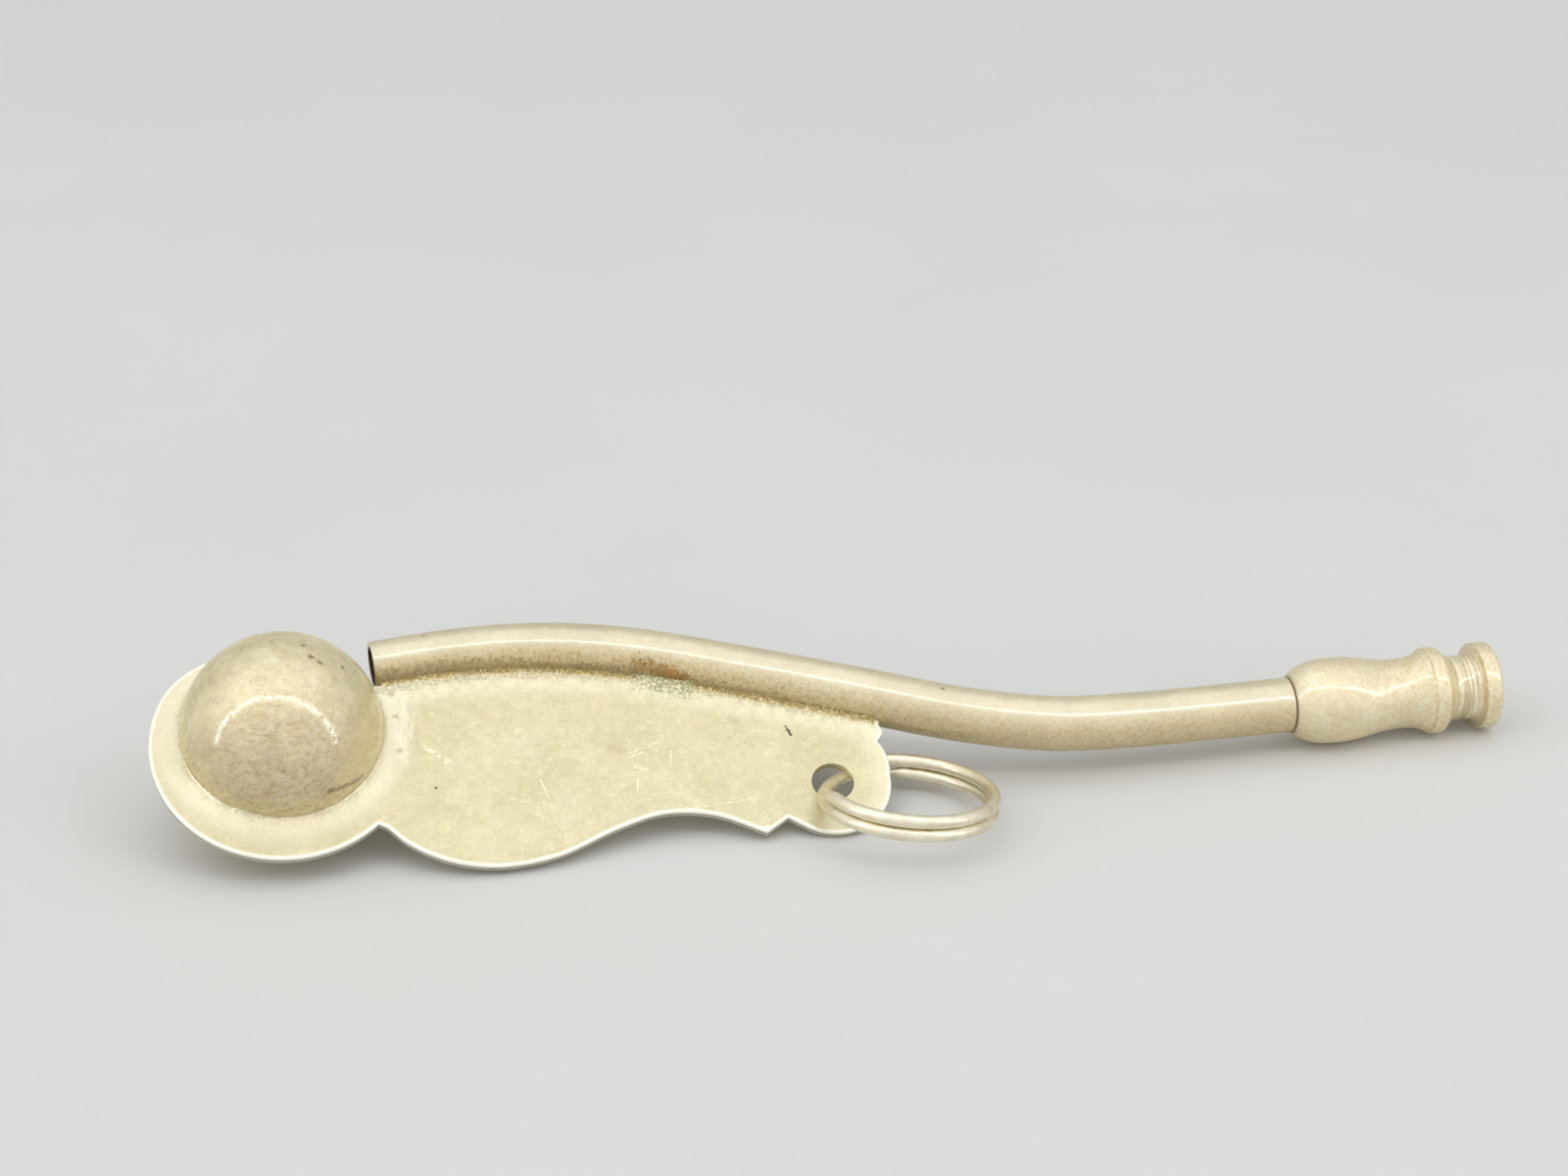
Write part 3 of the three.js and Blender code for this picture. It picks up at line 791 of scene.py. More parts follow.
def fillet_mesh(length, section):
    count = int(length / SOLDER_STEP)
    bm = bmesh.new()
    rows = [[bm.verts.new(point) for point in section(i, i / count)] for i in range(count + 1)]
    skin(bm, rows)
    for ring in (rows[0], rows[-1]):
        bm.faces.new(ring)
    return lay(mesh_from(bm, "fillet"), KEEL)


def wandering(amount, pace, lane, depth, i, side):
    return 1 + amount * noise.noise(Vector((i * pace, side * lane, depth)))


def tube_fillet(side):
    first = TUBE_SOLDER_START / TUBE.length
    last = TUBE.share_at(HEEL_END - TUBE_SOLDER_STOP)

    def section(i, progress):
        share = blend(first, last, progress)
        point, along = TUBE.at(share)
        spread = blend(TUBE_SOLDER_MOUTH, TUBE_SOLDER_TAIL, progress)
        spread *= wandering(*TUBE_SOLDER_WANDER, i, side)
        return fillet_row(point, keelward(along), tube_radius(share), spread, side, TUBE_SOLDER_CLIMB)

    return fillet_mesh((last - first) * TUBE.length, section)


def ball_fillet(side):
    point, along = TUBE.at(0)
    ceiling = (point + keelward(along) * TUBE_MOUTH_RADIUS).y - TUBE_SOLDER_MOUTH
    start = DISC_FROM + BALL_SOLDER_FROM
    end = 360 + math.degrees(math.asin(ceiling / (BALL_RADIUS + BALL_SOLDER)))

    def section(i, progress):
        angle = blend(start, end, progress)
        spread = BALL_SOLDER * wandering(*BALL_SOLDER_WANDER, i, side)
        if side > 0:
            spread += RESIDUE_SIZE * math.exp(-(((angle - RESIDUE_ANGLE) / RESIDUE_SPREAD) ** 2))
        return fillet_row(CENTRE.to_3d(), polar(angle, 1).to_3d(), BALL_RADIUS, spread, side)

    return fillet_mesh(rad(end - start) * BALL_RADIUS, section)


# Where crumbs have spread below the burnt place: a strip on the keel's face, widest at its middle
def crumb_bed():
    start, end = (on_face(point) for point in CRUMB_PATCH)
    across = (end - start).cross(OUT).normalized()
    bm = bmesh.new()
    rows = []
    for i in range(CRUMB_STEPS + 1):
        share = i / CRUMB_STEPS
        reach = across * (CRUMB_REACH * math.sqrt(max(1 - (2 * share - 1) ** 2, CRUMB_TIP)))
        middle = start.lerp(end, share)
        rows.append([bm.verts.new(middle - reach), bm.verts.new(middle + reach)])
    skin(bm, rows, closed=False)
    return lay(mesh_from(bm, "bed"), KEEL)


# Loose grains of flux and oxide, scattered over what they lie on
def grains(name, beds, radius, density, material):
    bm = bmesh.new()
    for bed in beds:
        bm.from_mesh(bed)
    mesh = bpy.data.meshes.new(name)
    bm.to_mesh(mesh)
    bm.free()
    piece = new_piece(name, mesh)
    scatter = Sweep("grains")
    spread = scatter.size("Density", density / MM**2)
    grain = scatter.size("Grain", radius * MM)
    seed = scatter.size("Seed", GRAIN_SEED, "Int")
    sockets = {"Mesh": scatter.start(), "Density": spread, "Seed": seed}
    points = scatter.add("GeometryNodeDistributePointsOnFaces", None, sockets)
    lump = scatter.add("GeometryNodeMeshIcoSphere", None, {"Radius": grain, "Subdivisions": 1})
    sockets = {"Min": GRAIN_LEAST, "Max": GRAIN_MOST, "Seed": seed}
    size = scatter.add("FunctionNodeRandomValue", {"data_type": "FLOAT_VECTOR"}, sockets)
    sockets = {"Points": points, "Instance": lump, "Scale": size}
    scatter.finish(scatter.add("GeometryNodeInstanceOnPoints", None, sockets), material, piece)
    return piece


# Tints
CREAM = (0.84, 0.765, 0.52, 1)
PALE = (0.95, 0.90, 0.70, 1)
CHALK = (0.90, 0.86, 0.66, 1)
TAN = (0.52, 0.42, 0.235, 1)
BROWN = (0.27, 0.18, 0.085, 1)
DARK = (0.06, 0.045, 0.03, 1)
WHITE_METAL = (0.90, 0.87, 0.74, 1)
GREY_METAL = (0.52, 0.50, 0.43, 1)
COPPER = (0.60, 0.24, 0.05, 1)
VERDIGRIS = (0.42, 0.49, 0.26, 1)
OLIVE = (0.40, 0.33, 0.15, 1)
ROSE = (0.68, 0.53, 0.25, 1)
RUST = (0.42, 0.275, 0.075, 1)
UMBER = (0.22, 0.155, 0.06, 1)
SOOT = (0.12, 0.07, 0.022, 1)
KEEL_BLUSH = (0.70, 0.62, 0.46, 1)
RING_YELLOW = (0.74, 0.62, 0.30, 1)

# The two tones of each ground
KEEL_TONES = (0.595, 0.54, 0.325, 1), (0.745, 0.69, 0.465, 1)
BALL_TONES = (0.69, 0.61, 0.385, 1), (0.83, 0.755, 0.49, 1)
TUBE_TONES = (0.63, 0.56, 0.35, 1), (0.77, 0.70, 0.47, 1)
BORE_SHADE_TONES = DARK, (0.16, 0.12, 0.07, 1)
MOUTHPIECE_TONES = (0.73, 0.655, 0.445, 1), (0.86, 0.795, 0.575, 1)
SOLDER_TONES = (0.33, 0.24, 0.085, 1), (0.56, 0.45, 0.215, 1)
BEAD_TONES = (0.72, 0.66, 0.45, 1), (0.88, 0.83, 0.66, 1)
RING_TONES = (0.76, 0.695, 0.515, 1), (0.88, 0.82, 0.645, 1)
TABLE_TONES = (0.58, 0.58, 0.57, 1), (0.63, 0.63, 0.62, 1)

# Scale, detail and roughness of each finish's noises, from its clouds or its mottling to its fine grain
KEEL_NOISE = (0.16, 5.0, 0.62), (1.1, 4.0, 0.65), (6.0, 3.0, 0.65)
BALL_NOISE = (0.2, 4.0, 0.6), (1.3, 4.0, 0.65), (7.0, 3.0, 0.65)
TUBE_NOISE = (0.18, 4.0, 0.6), (1.2, 4.0, 0.7), (5.5, 3.0, 0.7)
MOUTHPIECE_NOISE = (0.25, 4.0, 0.6), (1.4, 4.0, 0.7), (7.0, 3.0, 0.7)
RING_NOISE = (0.3, 4.0, 0.6), (1.2, 3.0, 0.6), (9.0, 2.0, 0.6)
SOLDER_NOISE = (1.0, 4.0, 0.7), (5.0, 3.0, 0.7)
BEAD_NOISE = (1.2, 4.0, 0.7), (6.0, 3.0, 0.7)
CRUMB_NOISE = (1.7, 4.0, 0.7), (5.0, 3.0, 0.7)
COARSE_NOISE = (2.6, 4.0, 0.75)
TONE_SHARES = (0.35, 0.35, 0.3)  # of the three noises in the ground
TONE_SPAN = (0.38, 0.62)

# Marks on the keel's axes: places, or the ends of streaks, and a reach; a place of two values is on the face
SMEAR = [(10.2, 3.6), (10.9, -3.2)]
SMEAR_SPECKS = [((10.0, 0.98), 0.3), ((10.25, -2.6), 0.4), ((9.8, 3.3), 0.4)]
KEEL_NICKS = [
    ((44.85, -1.6), (45.05, -2.1), 0.08), ((45.05, -2.1), (45.28, -2.6), 0.16),
    ((44.9, -2.05), (45.25, -2.15), 0.09),
]
KEEL_SCUFFS = [
    ((30.3, -3.9), (33.2, -2.8), 0.12), ((30.4, -4.3), (31.7, -3.8), 0.16),
    ((30.8, -5.2), (32.0, -5.6), 0.22), ((31.2, -5.8), (30.9, -8.0), 0.1),
    ((34.3, -3.7), (34.1, -5.4), 0.1), ((36.6, -9.6), (41.6, -9.0), 0.08),
    ((22.4, -6.1), (23.0, -8.0), 0.12), ((12.6, -2.4), (14.4, -3.9), 0.42),
]
KEEL_SMUDGES = [((11.9, -0.1), (11.2, -3.9)), ((29.0, -3.2), (30.2, -3.7)), ((39.9, -0.6), (40.7, -1.1))]
KEEL_PIT = (13.2, -6.55)
KEEL_HAIRLINES = [  # degrees, width and where each set is cut from its noise
    (18, 0.006, (0.0, 0.0, 3.0)), (-52, 0.005, (4.0, 2.0, 9.0)), (75, 0.004, (9.0, 7.0, 1.0)),
]
BALL_PITS = [
    ((3.43, 2.09, 8.05), 0.36), ((5.37, 2.25, 6.86), 0.28),
    ((2.07, 4.06, 7.76), 0.3), ((2.7, 2.6, 8.2), 0.36),
]
BALL_SCORE = [(3.9, -7.65, 2.5), (6.7, -5.8, 1.5)]
TUBE_SPOTS = [
    ((12.5, 5.1, 1.8), 0.36), ((14.7, 5.5, 1.8), 0.22),
    ((12.9, 8.3, 1.8), 0.3), ((59.35, 0.45, 2.38), 0.25),
]
COPPER_PATCH = [(32.0, 4.85, 1.65), (36.0, 3.55, 0.9)]
EMBER = (34.75, 3.87, 1.2)
SOOT_PATCH = [(26.2, 5.05, 0.9), (31.5, 4.4, 1.0)]
VERDIGRIS_PATCH = [(32.6, 3.9, 0.6), (36.2, 2.9, 0.5)]
CRUMB_PATCH = [(32.6, 3.85), (36.1, 2.65)]

COAT_IOR = 2.8  # a thin hard gloss over the satin metal


# A mark's place, laid on the keel's face where it has no height of its own
def on_face(point):
    return Vector(point if len(point) == 3 else (*point, FACE))


class Finish(Bench):
    """A material painted layer by layer, whose patterns read a piece's own millimetres."""

    def __init__(self, name, place=KEEL):
        self.material = bpy.data.materials.new(name)
        self.material.use_nodes = True
        super().__init__(self.material.node_tree)
        self.tree.nodes.clear()
        into = place.inverted()
        sockets = {
            0: self.add("ShaderNodeTexCoord", output=3),
            1: into.to_translation(),
            2: into.to_euler(),
            3: into.to_scale(),
        }
        self.place = self.add("ShaderNodeMapping", None, sockets)
        self.axes = self.split(self.place)

    def grain(self, scale, detail=3.0, rough=0.5, place=None, twist=0.0):
        sockets = {"Vector": place or self.place, "Scale": scale, "Detail": detail}
        sockets |= {"Roughness": rough, "Distortion": twist}
        return self.add("ShaderNodeTexNoise", None, sockets)

    def noises(self, settings):
        return [self.grain(*each) for each in settings]

    def stretched(self, turn, stretch, shift=(0.0, 0.0, 0.0)):
        sockets = {0: self.place, 1: shift, 2: (0.0, 0.0, rad(turn)), 3: stretch}
        return self.add("ShaderNodeMapping", None, sockets)

    def mix(self, share, a, b):
        return self.add("ShaderNodeMix", {"data_type": "RGBA"}, {0: share, 6: a, 7: b}, 2)

    # The ground's two tones, then one tint after another over it
    def ground(self, tones, share):
        self.colour = self.mix(share, *tones)

    def clouded(self, tones, cloud, mottle, fine, shares=TONE_SHARES):
        self.ground(tones, self.ease(cloud * shares[0] + mottle * shares[1] + fine * shares[2], *TONE_SPAN))

    def paint(self, tint, share):
        self.colour = self.mix(share, self.colour, tint)

    def attribute(self, name):
        return self.add("ShaderNodeAttribute", {"attribute_name": name}, output=2)

    def off_axis(self):
        return self.vector("LENGTH", self.vector("MULTIPLY", self.place, (1.0, 1.0, 0.0)), output=1)

    # A blotch round a place, its edge broken up by grain
    def blotch(self, point, radius, ragged, feather=0.5):
        reach = self.vector("DISTANCE", self.place, tuple(on_face(point)), output=1)
        return self.ease(reach + (ragged - 0.5) * (radius * 1.6), radius, radius * feather)

    # A ragged streak from one place to another
    def streak(self, start, end, radius, ragged):
        start = on_face(start)
        run = on_face(end) - start
        from_start = self.vector("SUBTRACT", self.place, tuple(start))
        share = self.vector("DOT_PRODUCT", from_start, tuple(run / run.length_squared), output=1)
        share = self.math("MAXIMUM", self.math("MINIMUM", share, 1.0), 0.0)
        nearest = self.add("ShaderNodeVectorMath", {"operation": "SCALE"}, {0: tuple(run), "Scale": share})
        reach = self.vector("DISTANCE", from_start, nearest, output=1)
        return self.ease(reach + (ragged - 0.5) * (radius * 2.0), radius, radius * 0.4)

    # Hairline scratches: the level lines of a long drawn-out noise, broken up by a second one
    def scratches(self, turn, width, shift):
        line = self.grain(0.5, 2.0, 0.5, self.stretched(turn, (0.22, 2.6, 1.0), shift))
        gate = self.grain(0.35, 2.0, 0.5, self.stretched(turn, (0.6, 1.0, 1.0), shift))
        return self.ease(abs(line - 0.5), width, 0.0) * self.ease(gate, 0.5, 0.62)

    # Small pits: here and there a cell of a Voronoi pattern has one at its middle.
    def pits(self, scale, share, radius):
        distance = self.add("ShaderNodeTexVoronoi", None, {"Vector": self.place, "Scale": scale})
        pick = self.split(distance.sibling("Color"))[0]
        reach = radius * scale
        return self.ease(distance, reach, reach * 0.4) * self.ease(pick, 1 - share, 1 - share + 0.01)

    # Verdigris and pale flux, crumbled together with dark lines between
    def crumble(self, share):
        crumbs = self.grain(3.6, 4.0, 0.8)
        self.paint(CHALK, share * self.ease(crumbs, 0.46, 0.56) * 0.7)
        self.paint(VERDIGRIS, share * self.ease(crumbs, 0.54, 0.44) * 0.8)
        self.paint(UMBER, share * self.ease(abs(crumbs - 0.46), 0.035, 0.0) * 0.85)

    def shade(self, roughness, height, relief, coat=0.0, coat_roughness=0.1, metallic=1.0):
        bump = self.add("ShaderNodeBump", None, {"Strength": 1.0, "Distance": relief * MM, "Height": height})
        sockets = {
            "Base Color": self.colour,
            "Metallic": metallic,
            "Roughness": roughness,
            "Normal": bump,
            "Coat Weight": coat,
            "Coat Roughness": coat_roughness,
            "Coat IOR": COAT_IOR,
        }
        shader = self.add("ShaderNodeBsdfPrincipled", None, sockets)
        self.add("ShaderNodeOutputMaterial", None, {"Surface": shader})
        return self.material


def keel_finish():
    f = Finish("keel_silver")
    cloud, mottle, fine = f.noises(KEEL_NOISE)
    rim, seam, ball = f.attribute("rim"), f.attribute("seam"), f.off_axis()
    x, y, height = f.axes
    f.clouded(KEEL_TONES, cloud, mottle, fine, (0.3, 0.4, 0.3))
    f.paint(KEEL_BLUSH, f.ease(f.grain(0.3, 5.0, 0.7, twist=0.6), 0.42, 0.6) * 0.3)
    f.paint(CREAM, f.ease(mottle, 0.56, 0.68) * f.ease(fine, 0.5, 0.62) * 0.7)
    # Solder has wetted the face in feathered bands along the tube and round the ball.
    wander = (cloud - 0.5) * 2.2 + (mottle - 0.5) * 1.2
    f.paint(WHITE_METAL, f.ease(seam + wander, 2.4, 0.3) * 0.25)
    crust = f.ease(seam + (mottle - 0.5) * 2.0 + (cloud - 0.5) * 2.5, 3.2, 1.2)
    f.paint(CHALK, crust * f.ease(mottle, 0.38, 0.6, 0.25, 0.6))
    dragged = f.grain(1.4, 4.0, 0.75, f.stretched(-8, (1.0, 0.25, 1.0)))
    smear = f.streak(*SMEAR, 1.3, dragged)
    f.paint(WHITE_METAL, smear * f.ease(dragged, 0.42, 0.58) * 0.45)
    f.paint(GREY_METAL, smear * f.ease(dragged, 0.47, 0.38) * 0.4)
    f.paint(WHITE_METAL, f.ease(ball + wander * 0.5, 12.4, 10.2) * 0.35)
    # Dirt lies in the corner along the tube and the ball.
    corner = f.math("MINIMUM", seam - 0.55, ball - BALL_RADIUS)
    dirt = f.ease(corner + (mottle - 0.5) * 1.1, 0.5, 0.05) * f.ease(fine, 0.44, 0.6)
    f.paint(OLIVE, dirt * 0.6)
    for place, size in SMEAR_SPECKS:
        f.paint(OLIVE, f.blotch(place, size, fine) * 0.5)
    # Verdigris and flux crumbs have spread onto the face below the burnt place.
    f.crumble(f.streak(*CRUMB_PATCH, 1.4, f.grain(1.6, 4.0, 0.8) * 1.4 - 0.2))
    lines = f.most(*(f.scratches(*hairline) for hairline in KEEL_HAIRLINES))
    f.paint(PALE, lines * 0.4)
    broken = f.ease(f.grain(2.4, 4.0, 0.8), 0.46, 0.56)
    for scuff in KEEL_SCUFFS:
        f.paint(PALE, f.streak(*scuff, mottle) * broken * 0.75)
    for ends in KEEL_SMUDGES:
        f.paint(TAN, f.streak(*ends, 0.45, mottle) * 0.3)
    nicks = (f.streak(*nick, fine) for nick in KEEL_NICKS)
    pit = f.most(f.pits(0.55, 0.14, 0.1), f.blotch(KEEL_PIT, 0.16, fine), *nicks)
    f.paint(DARK, pit * 0.85)
    # Hands have worn the heel paler.
    f.paint(CHALK, f.ease(x, 48.0, 52.0) * f.ease(rim + (mottle - 0.5) * 1.5, 2.6, 0.5) * 0.4)
    # Painted light: the disc below the ball is painted paler, lifting the shade that the ball casts there.
    foot = f.ease(ball + (mottle - 0.5) * 1.2, 11.6, 9.4) * f.ease(y, -2.0, -7.0)
    f.paint(PALE, foot * f.ease(mottle * 0.6 + fine * 0.4, 0.4, 0.58, 0.4, 1.0))
    # The blanked edge: worn bright at its round, a dark line at the shear and a grey torn band below. The
    # dark line is painted shade in the groove at the shear; the wall's pale paint is partly its burnished
    # zone and partly painted light for the light falling on it from the front.
    worn = f.ease(rim + (fine - 0.5) * 0.2, 0.42, 0.18) * f.ease(height, 0.05, 0.2)
    f.paint(WHITE_METAL, worn * 0.8)
    wall = f.ease(rim, 0.12, 0.07)
    # Painted light with the burnished zone: the wall painted pale as if lit from the front.
    f.paint(WHITE_METAL, wall * 0.7)
    f.paint(GREY_METAL, wall * f.ease(height, 0.02, -0.06) * 0.7)
    # Painted shade: the groove at the shear painted dark.
    f.paint(DARK, wall * f.ease(abs(height - 0.005), 0.1, 0.05) * 0.85)
    roughness = 0.58 + (mottle - 0.5) * 0.2 + pit * 0.2 - worn * 0.25 - lines * 0.2
    bumps = mottle * 0.3 + fine * 0.3 - lines * 0.4 - pit * 2.0 + dirt * fine
    metallic = 1.0 - wall * 0.75
    return f.shade(roughness, bumps, relief=0.012, coat=0.16, coat_roughness=0.25, metallic=metallic)


def ball_finish():
    f = Finish("ball_silver")
    cloud, mottle, fine = f.noises(BALL_NOISE)
    x, y, z = f.axes
    f.clouded(BALL_TONES, cloud, mottle, fine)
    patch = f.grain(0.45, 5.0, 0.75, twist=0.6)
    f.paint(PALE, f.ease(patch, 0.52, 0.62) * 0.4)
    f.paint(OLIVE, f.ease(patch, 0.46, 0.34) * 0.25)
    combed = f.grain(5.0, 4.0, 0.75, f.stretched(12, (0.3, 1.0, 1.0)))
    f.paint(OLIVE, f.ease(combed, 0.5, 0.62) * 0.2)
    # The lower front, where the hand rubs, is finely grained. It is also browned towards the bottom: in part
    # patina, in part painted shade for a darker reflection from below than the pale table gives.
    low = f.ease(y + (cloud - 0.5) * 3.0 + (mottle - 0.5) * 1.5, 0.5, -6.0)
    f.paint(TAN, low * 0.35)
    scale = f.grain(2.2, 5.0, 0.75, f.stretched(8, (0.55, 1.0, 1.0)), 0.8)
    rubbed = f.ease(y + abs(x + 0.5) * 0.45 + (cloud - 0.5) * 9.0, 2.0, -6.0)
    f.paint(RUST, f.ease(scale, 0.5, 0.64) * rubbed * 0.6)
    f.paint(CREAM, f.ease(scale, 0.44, 0.34) * rubbed * 0.4)
    drag = f.grain(3.4, 3.0, 0.65, f.stretched(8, (0.4, 1.0, 1.2)))
    f.paint(BROWN, f.ease(drag * 0.55 + fine * 0.45, 0.48, 0.6) * rubbed * 0.3)
    ragged = f.grain(3.2)
    pit = f.most(f.pits(0.5, 0.1, 0.1), *(f.blotch(*spot, ragged) for spot in BALL_PITS))
    f.paint(BROWN, pit * 0.7)
    f.paint(BROWN, f.streak(*BALL_SCORE, 0.4, drag) * 0.8)
    f.paint(OLIVE, f.ease(abs(z) + (mottle - 0.5) * 0.8, 1.4, 0.4) * 0.4)
    roughness = 0.66 + (mottle - 0.5) * 0.2 + low * 0.04 + pit * 0.15
    bumps = mottle * 0.25 + fine * 0.3 + scale * 0.5 * rubbed - pit * 1.5
    gloss = f.ease(fine * 0.4 + f.grain(2.4, 3.0, 0.7) * 0.6, 0.38, 0.56) * 0.68
    return f.shade(roughness, bumps, relief=0.008, coat=gloss, coat_roughness=0.14)


def tube_finish():
    f = Finish("tube_silver")
    cloud, mottle, fine = f.noises(TUBE_NOISE)
    coarse = f.grain(*COARSE_NOISE)
    below, along = f.attribute("keelward"), f.attribute("along")
    f.clouded(TUBE_TONES, cloud, mottle, fine)
    # Brown grain gathers on the side towards the keel, most of all along the soldered stretch.
    soldered = f.ease(along, 54.0, 20.0, 0.6, 1.0)
    lower = f.ease(below + (coarse - 0.5) * 0.8, 0.2, 0.8) * soldered
    f.paint(ROSE, lower * 0.6)
    sand = f.ease(f.grain(8.0, 2.0, 0.6), 0.5, 0.6)
    f.paint(RUST, sand * f.ease(below, -0.1, 0.7) * 0.26)
    speckle = f.ease(fine * 0.4 + coarse * 0.6, 0.48, 0.57) * f.ease(below, 0.2, 0.75) * soldered
    f.paint(RUST, speckle * 0.7)
    f.paint(CREAM, f.ease(fine, 0.58, 0.66) * lower * 0.5)
    # Darker brown on the keelward side, towards the joint with the keel.
    under = f.ease(along, 6.0, 16.0, 0.56, 0.8)
    f.paint(UMBER, f.ease(below + (coarse - 0.5) * 0.4, under, 0.95) * f.ease(along, 44.0, 32.0) * 0.5)
    # Where the solder burnt through, the copper shows as red grains between dark lines.
    burnt = f.streak(*COPPER_PATCH, 0.8, f.grain(1.5, 5.0, 0.9) * 2.4 - 0.7)
    glowing = f.blotch(EMBER, 1.4, coarse, 0.2)
    embers = f.grain(2.7, 5.0, 0.85, twist=1.0)
    f.paint(UMBER, f.streak(*SOOT_PATCH, 0.8, coarse) * f.ease(fine, 0.42, 0.56) * 0.55)
    f.paint(RUST, burnt * f.ease(embers, 0.6, 0.46) * 0.55)
    f.paint(COPPER, burnt * f.ease(embers, 0.51, 0.56) * (0.45 + 0.55 * glowing))
    f.paint(CREAM, burnt * f.ease(embers, 0.6, 0.66) * 0.8)
    f.paint(SOOT, burnt * f.ease(abs(embers - 0.465), 0.035, 0.012) * 0.9)
    f.paint(VERDIGRIS, f.streak(*VERDIGRIS_PATCH, 0.45, coarse) * f.ease(fine, 0.46, 0.54) * 0.6)
    pit = f.most(f.pits(0.45, 0.12, 0.12), *(f.blotch(*spot, coarse) for spot in TUBE_SPOTS))
    f.paint(BROWN, pit * 0.8)
    roughness = 0.68 + (mottle - 0.5) * 0.2 + pit * 0.15
    draw_lines = f.grain(3.0, 2.0, 0.6, f.stretched(0, (0.08, 1.0, 1.0)))
    bumps = fine * 0.35 + mottle * 0.3 + draw_lines * 0.2 + speckle * 0.5 + burnt * embers * 3.0 - pit * 1.5
    gloss = f.ease(fine * 0.5 + mottle * 0.5, 0.26, 0.48) * (0.95 - 0.65 * lower) * (1 - 0.9 * burnt)
    return f.shade(roughness, bumps, relief=0.008, coat=gloss, coat_roughness=0.2)


# The tube's inside: its oxide painted near black, as painted shade down the bore.
def bore_shade_finish():
    f = Finish("bore_oxide")
    mottle = f.grain(1.2, 4.0, 0.7)
    f.ground(BORE_SHADE_TONES, f.ease(mottle, 0.4, 0.6))
    return f.shade(0.7 + (mottle - 0.5) * 0.2, mottle, relief=0.02)


def mouthpiece_finish():
    f = Finish("mouthpiece_silver", MOUTHPIECE)
    cloud, mottle, fine = f.noises(MOUTHPIECE_NOISE)
    coarse = f.grain(*COARSE_NOISE)
    rings = f.grain(4.0, 3.0, 0.7, f.stretched(0, (0.05, 0.05, 1.0)))
    along = f.axes[2]
    f.clouded(MOUTHPIECE_TONES, cloud, mottle, fine)
    facing = f.ease(along, 6.0, 11.0, 0.7, 1.0)
    f.paint(ROSE, f.ease(fine * 0.5 + coarse * 0.5, 0.47, 0.58) * facing * 0.8)
    f.paint(CHALK, f.ease(fine * 0.4 + coarse * 0.6, 0.46, 0.36) * 0.6)
    # Turning marks, dirt at the joint and in the neck, and the dark bore
    f.paint(PALE, f.ease(abs(rings - 0.5), 0.02, 0.0) * 0.25)
    f.paint(BROWN, f.ease(along, 0.28, 0.08) * 0.7)
    neck_middle = COLLAR_AT + COLLAR_WIDTH + NECK_RUN + NECK_WIDTH / 2
    neck = f.ease(abs(along - neck_middle) + (mottle - 0.5) * 1.2, 1.9, 0.6)
    f.paint(TAN, neck * f.ease(rings, 0.42, 0.58) * 0.75)
    f.paint(PALE, neck * f.ease(rings, 0.48, 0.38) * 0.6)
    f.paint(DARK, f.ease(f.off_axis(), BLOW_RADIUS + 0.1, BLOW_RADIUS - 0.15) * 0.8)
    roughness = 0.66 + (mottle - 0.5) * 0.2 + (rings - 0.5) * 0.15
    bumps = fine * 0.3 + mottle * 0.2 + rings * 0.6
    gloss = f.ease(fine * 0.5 + mottle * 0.5, 0.34, 0.54) * 0.6
    return f.shade(roughness, bumps, relief=0.01, coat=gloss, coat_roughness=0.17)


def solder_finish():
    f = Finish("rough_solder")
    mottle, fine = f.noises(SOLDER_NOISE)
    f.ground(SOLDER_TONES, f.ease(fine * 0.5 + mottle * 0.5, 0.4, 0.58))
    f.paint(UMBER, f.ease(fine, 0.47, 0.4) * 0.6)
    f.paint(PALE, f.ease(fine, 0.57, 0.65) * 0.8)
    # The fillet is dark under the tube, and its toe runs out pale over the keel.
    lift = abs(f.axes[2]) - FACE + (mottle - 0.5) * 0.3
    f.paint(UMBER, f.ease(lift, 0.1, 0.32) * 0.45)
    f.paint(CHALK, f.ease(lift, 0.1, 0.0) * 0.35)
    ragged = f.grain(2.4, 4.0, 0.75)
    f.paint(RUST, f.streak(*COPPER_PATCH, 1.2, ragged) * 0.3)
    f.crumble(f.streak(*VERDIGRIS_PATCH, 1.1, ragged))
    return f.shade(0.5 + (fine - 0.5) * 0.3, fine + mottle, relief=0.02)


def crumb_finish():
    f = Finish("flux_crumb")
    mottle, fine = f.noises(CRUMB_NOISE)
    f.ground((VERDIGRIS, CHALK), f.ease(mottle, 0.43, 0.52))
    f.paint(RUST, f.ease(fine, 0.55, 0.63) * 0.6)
    return f.shade(0.7 + (fine - 0.5) * 0.2, fine, relief=0.02, metallic=0.3)


def ball_solder_finish():
    f = Finish("bright_solder")
    mottle, fine = f.noises(BEAD_NOISE)
    f.ground(BEAD_TONES, f.ease(mottle, 0.45, 0.6))
    f.paint(TAN, f.ease(fine, 0.56, 0.68) * 0.6)
    return f.shade(0.42 + (fine - 0.5) * 0.3, fine + mottle, relief=0.02)


def ring_finish():
    f = Finish("ring_wire", RING)
    cloud, mottle, fine = f.noises(RING_NOISE)
    f.ground(RING_TONES, f.ease(cloud * 0.5 + mottle * 0.5, 0.38, 0.6))
    f.paint(RING_YELLOW, f.ease(cloud, 0.58, 0.68) * f.ease(mottle, 0.45, 0.6) * 0.45)
    pit = f.pits(0.8, 0.06, 0.08)
    f.paint(BROWN, pit * 0.5)
    roughness = 0.4 + (mottle - 0.5) * 0.1 + pit * 0.15
    bumps = mottle * 0.2 + fine * 0.08 - pit * 0.6
    return f.shade(roughness, bumps, relief=0.004, coat=0.25, coat_roughness=0.12)


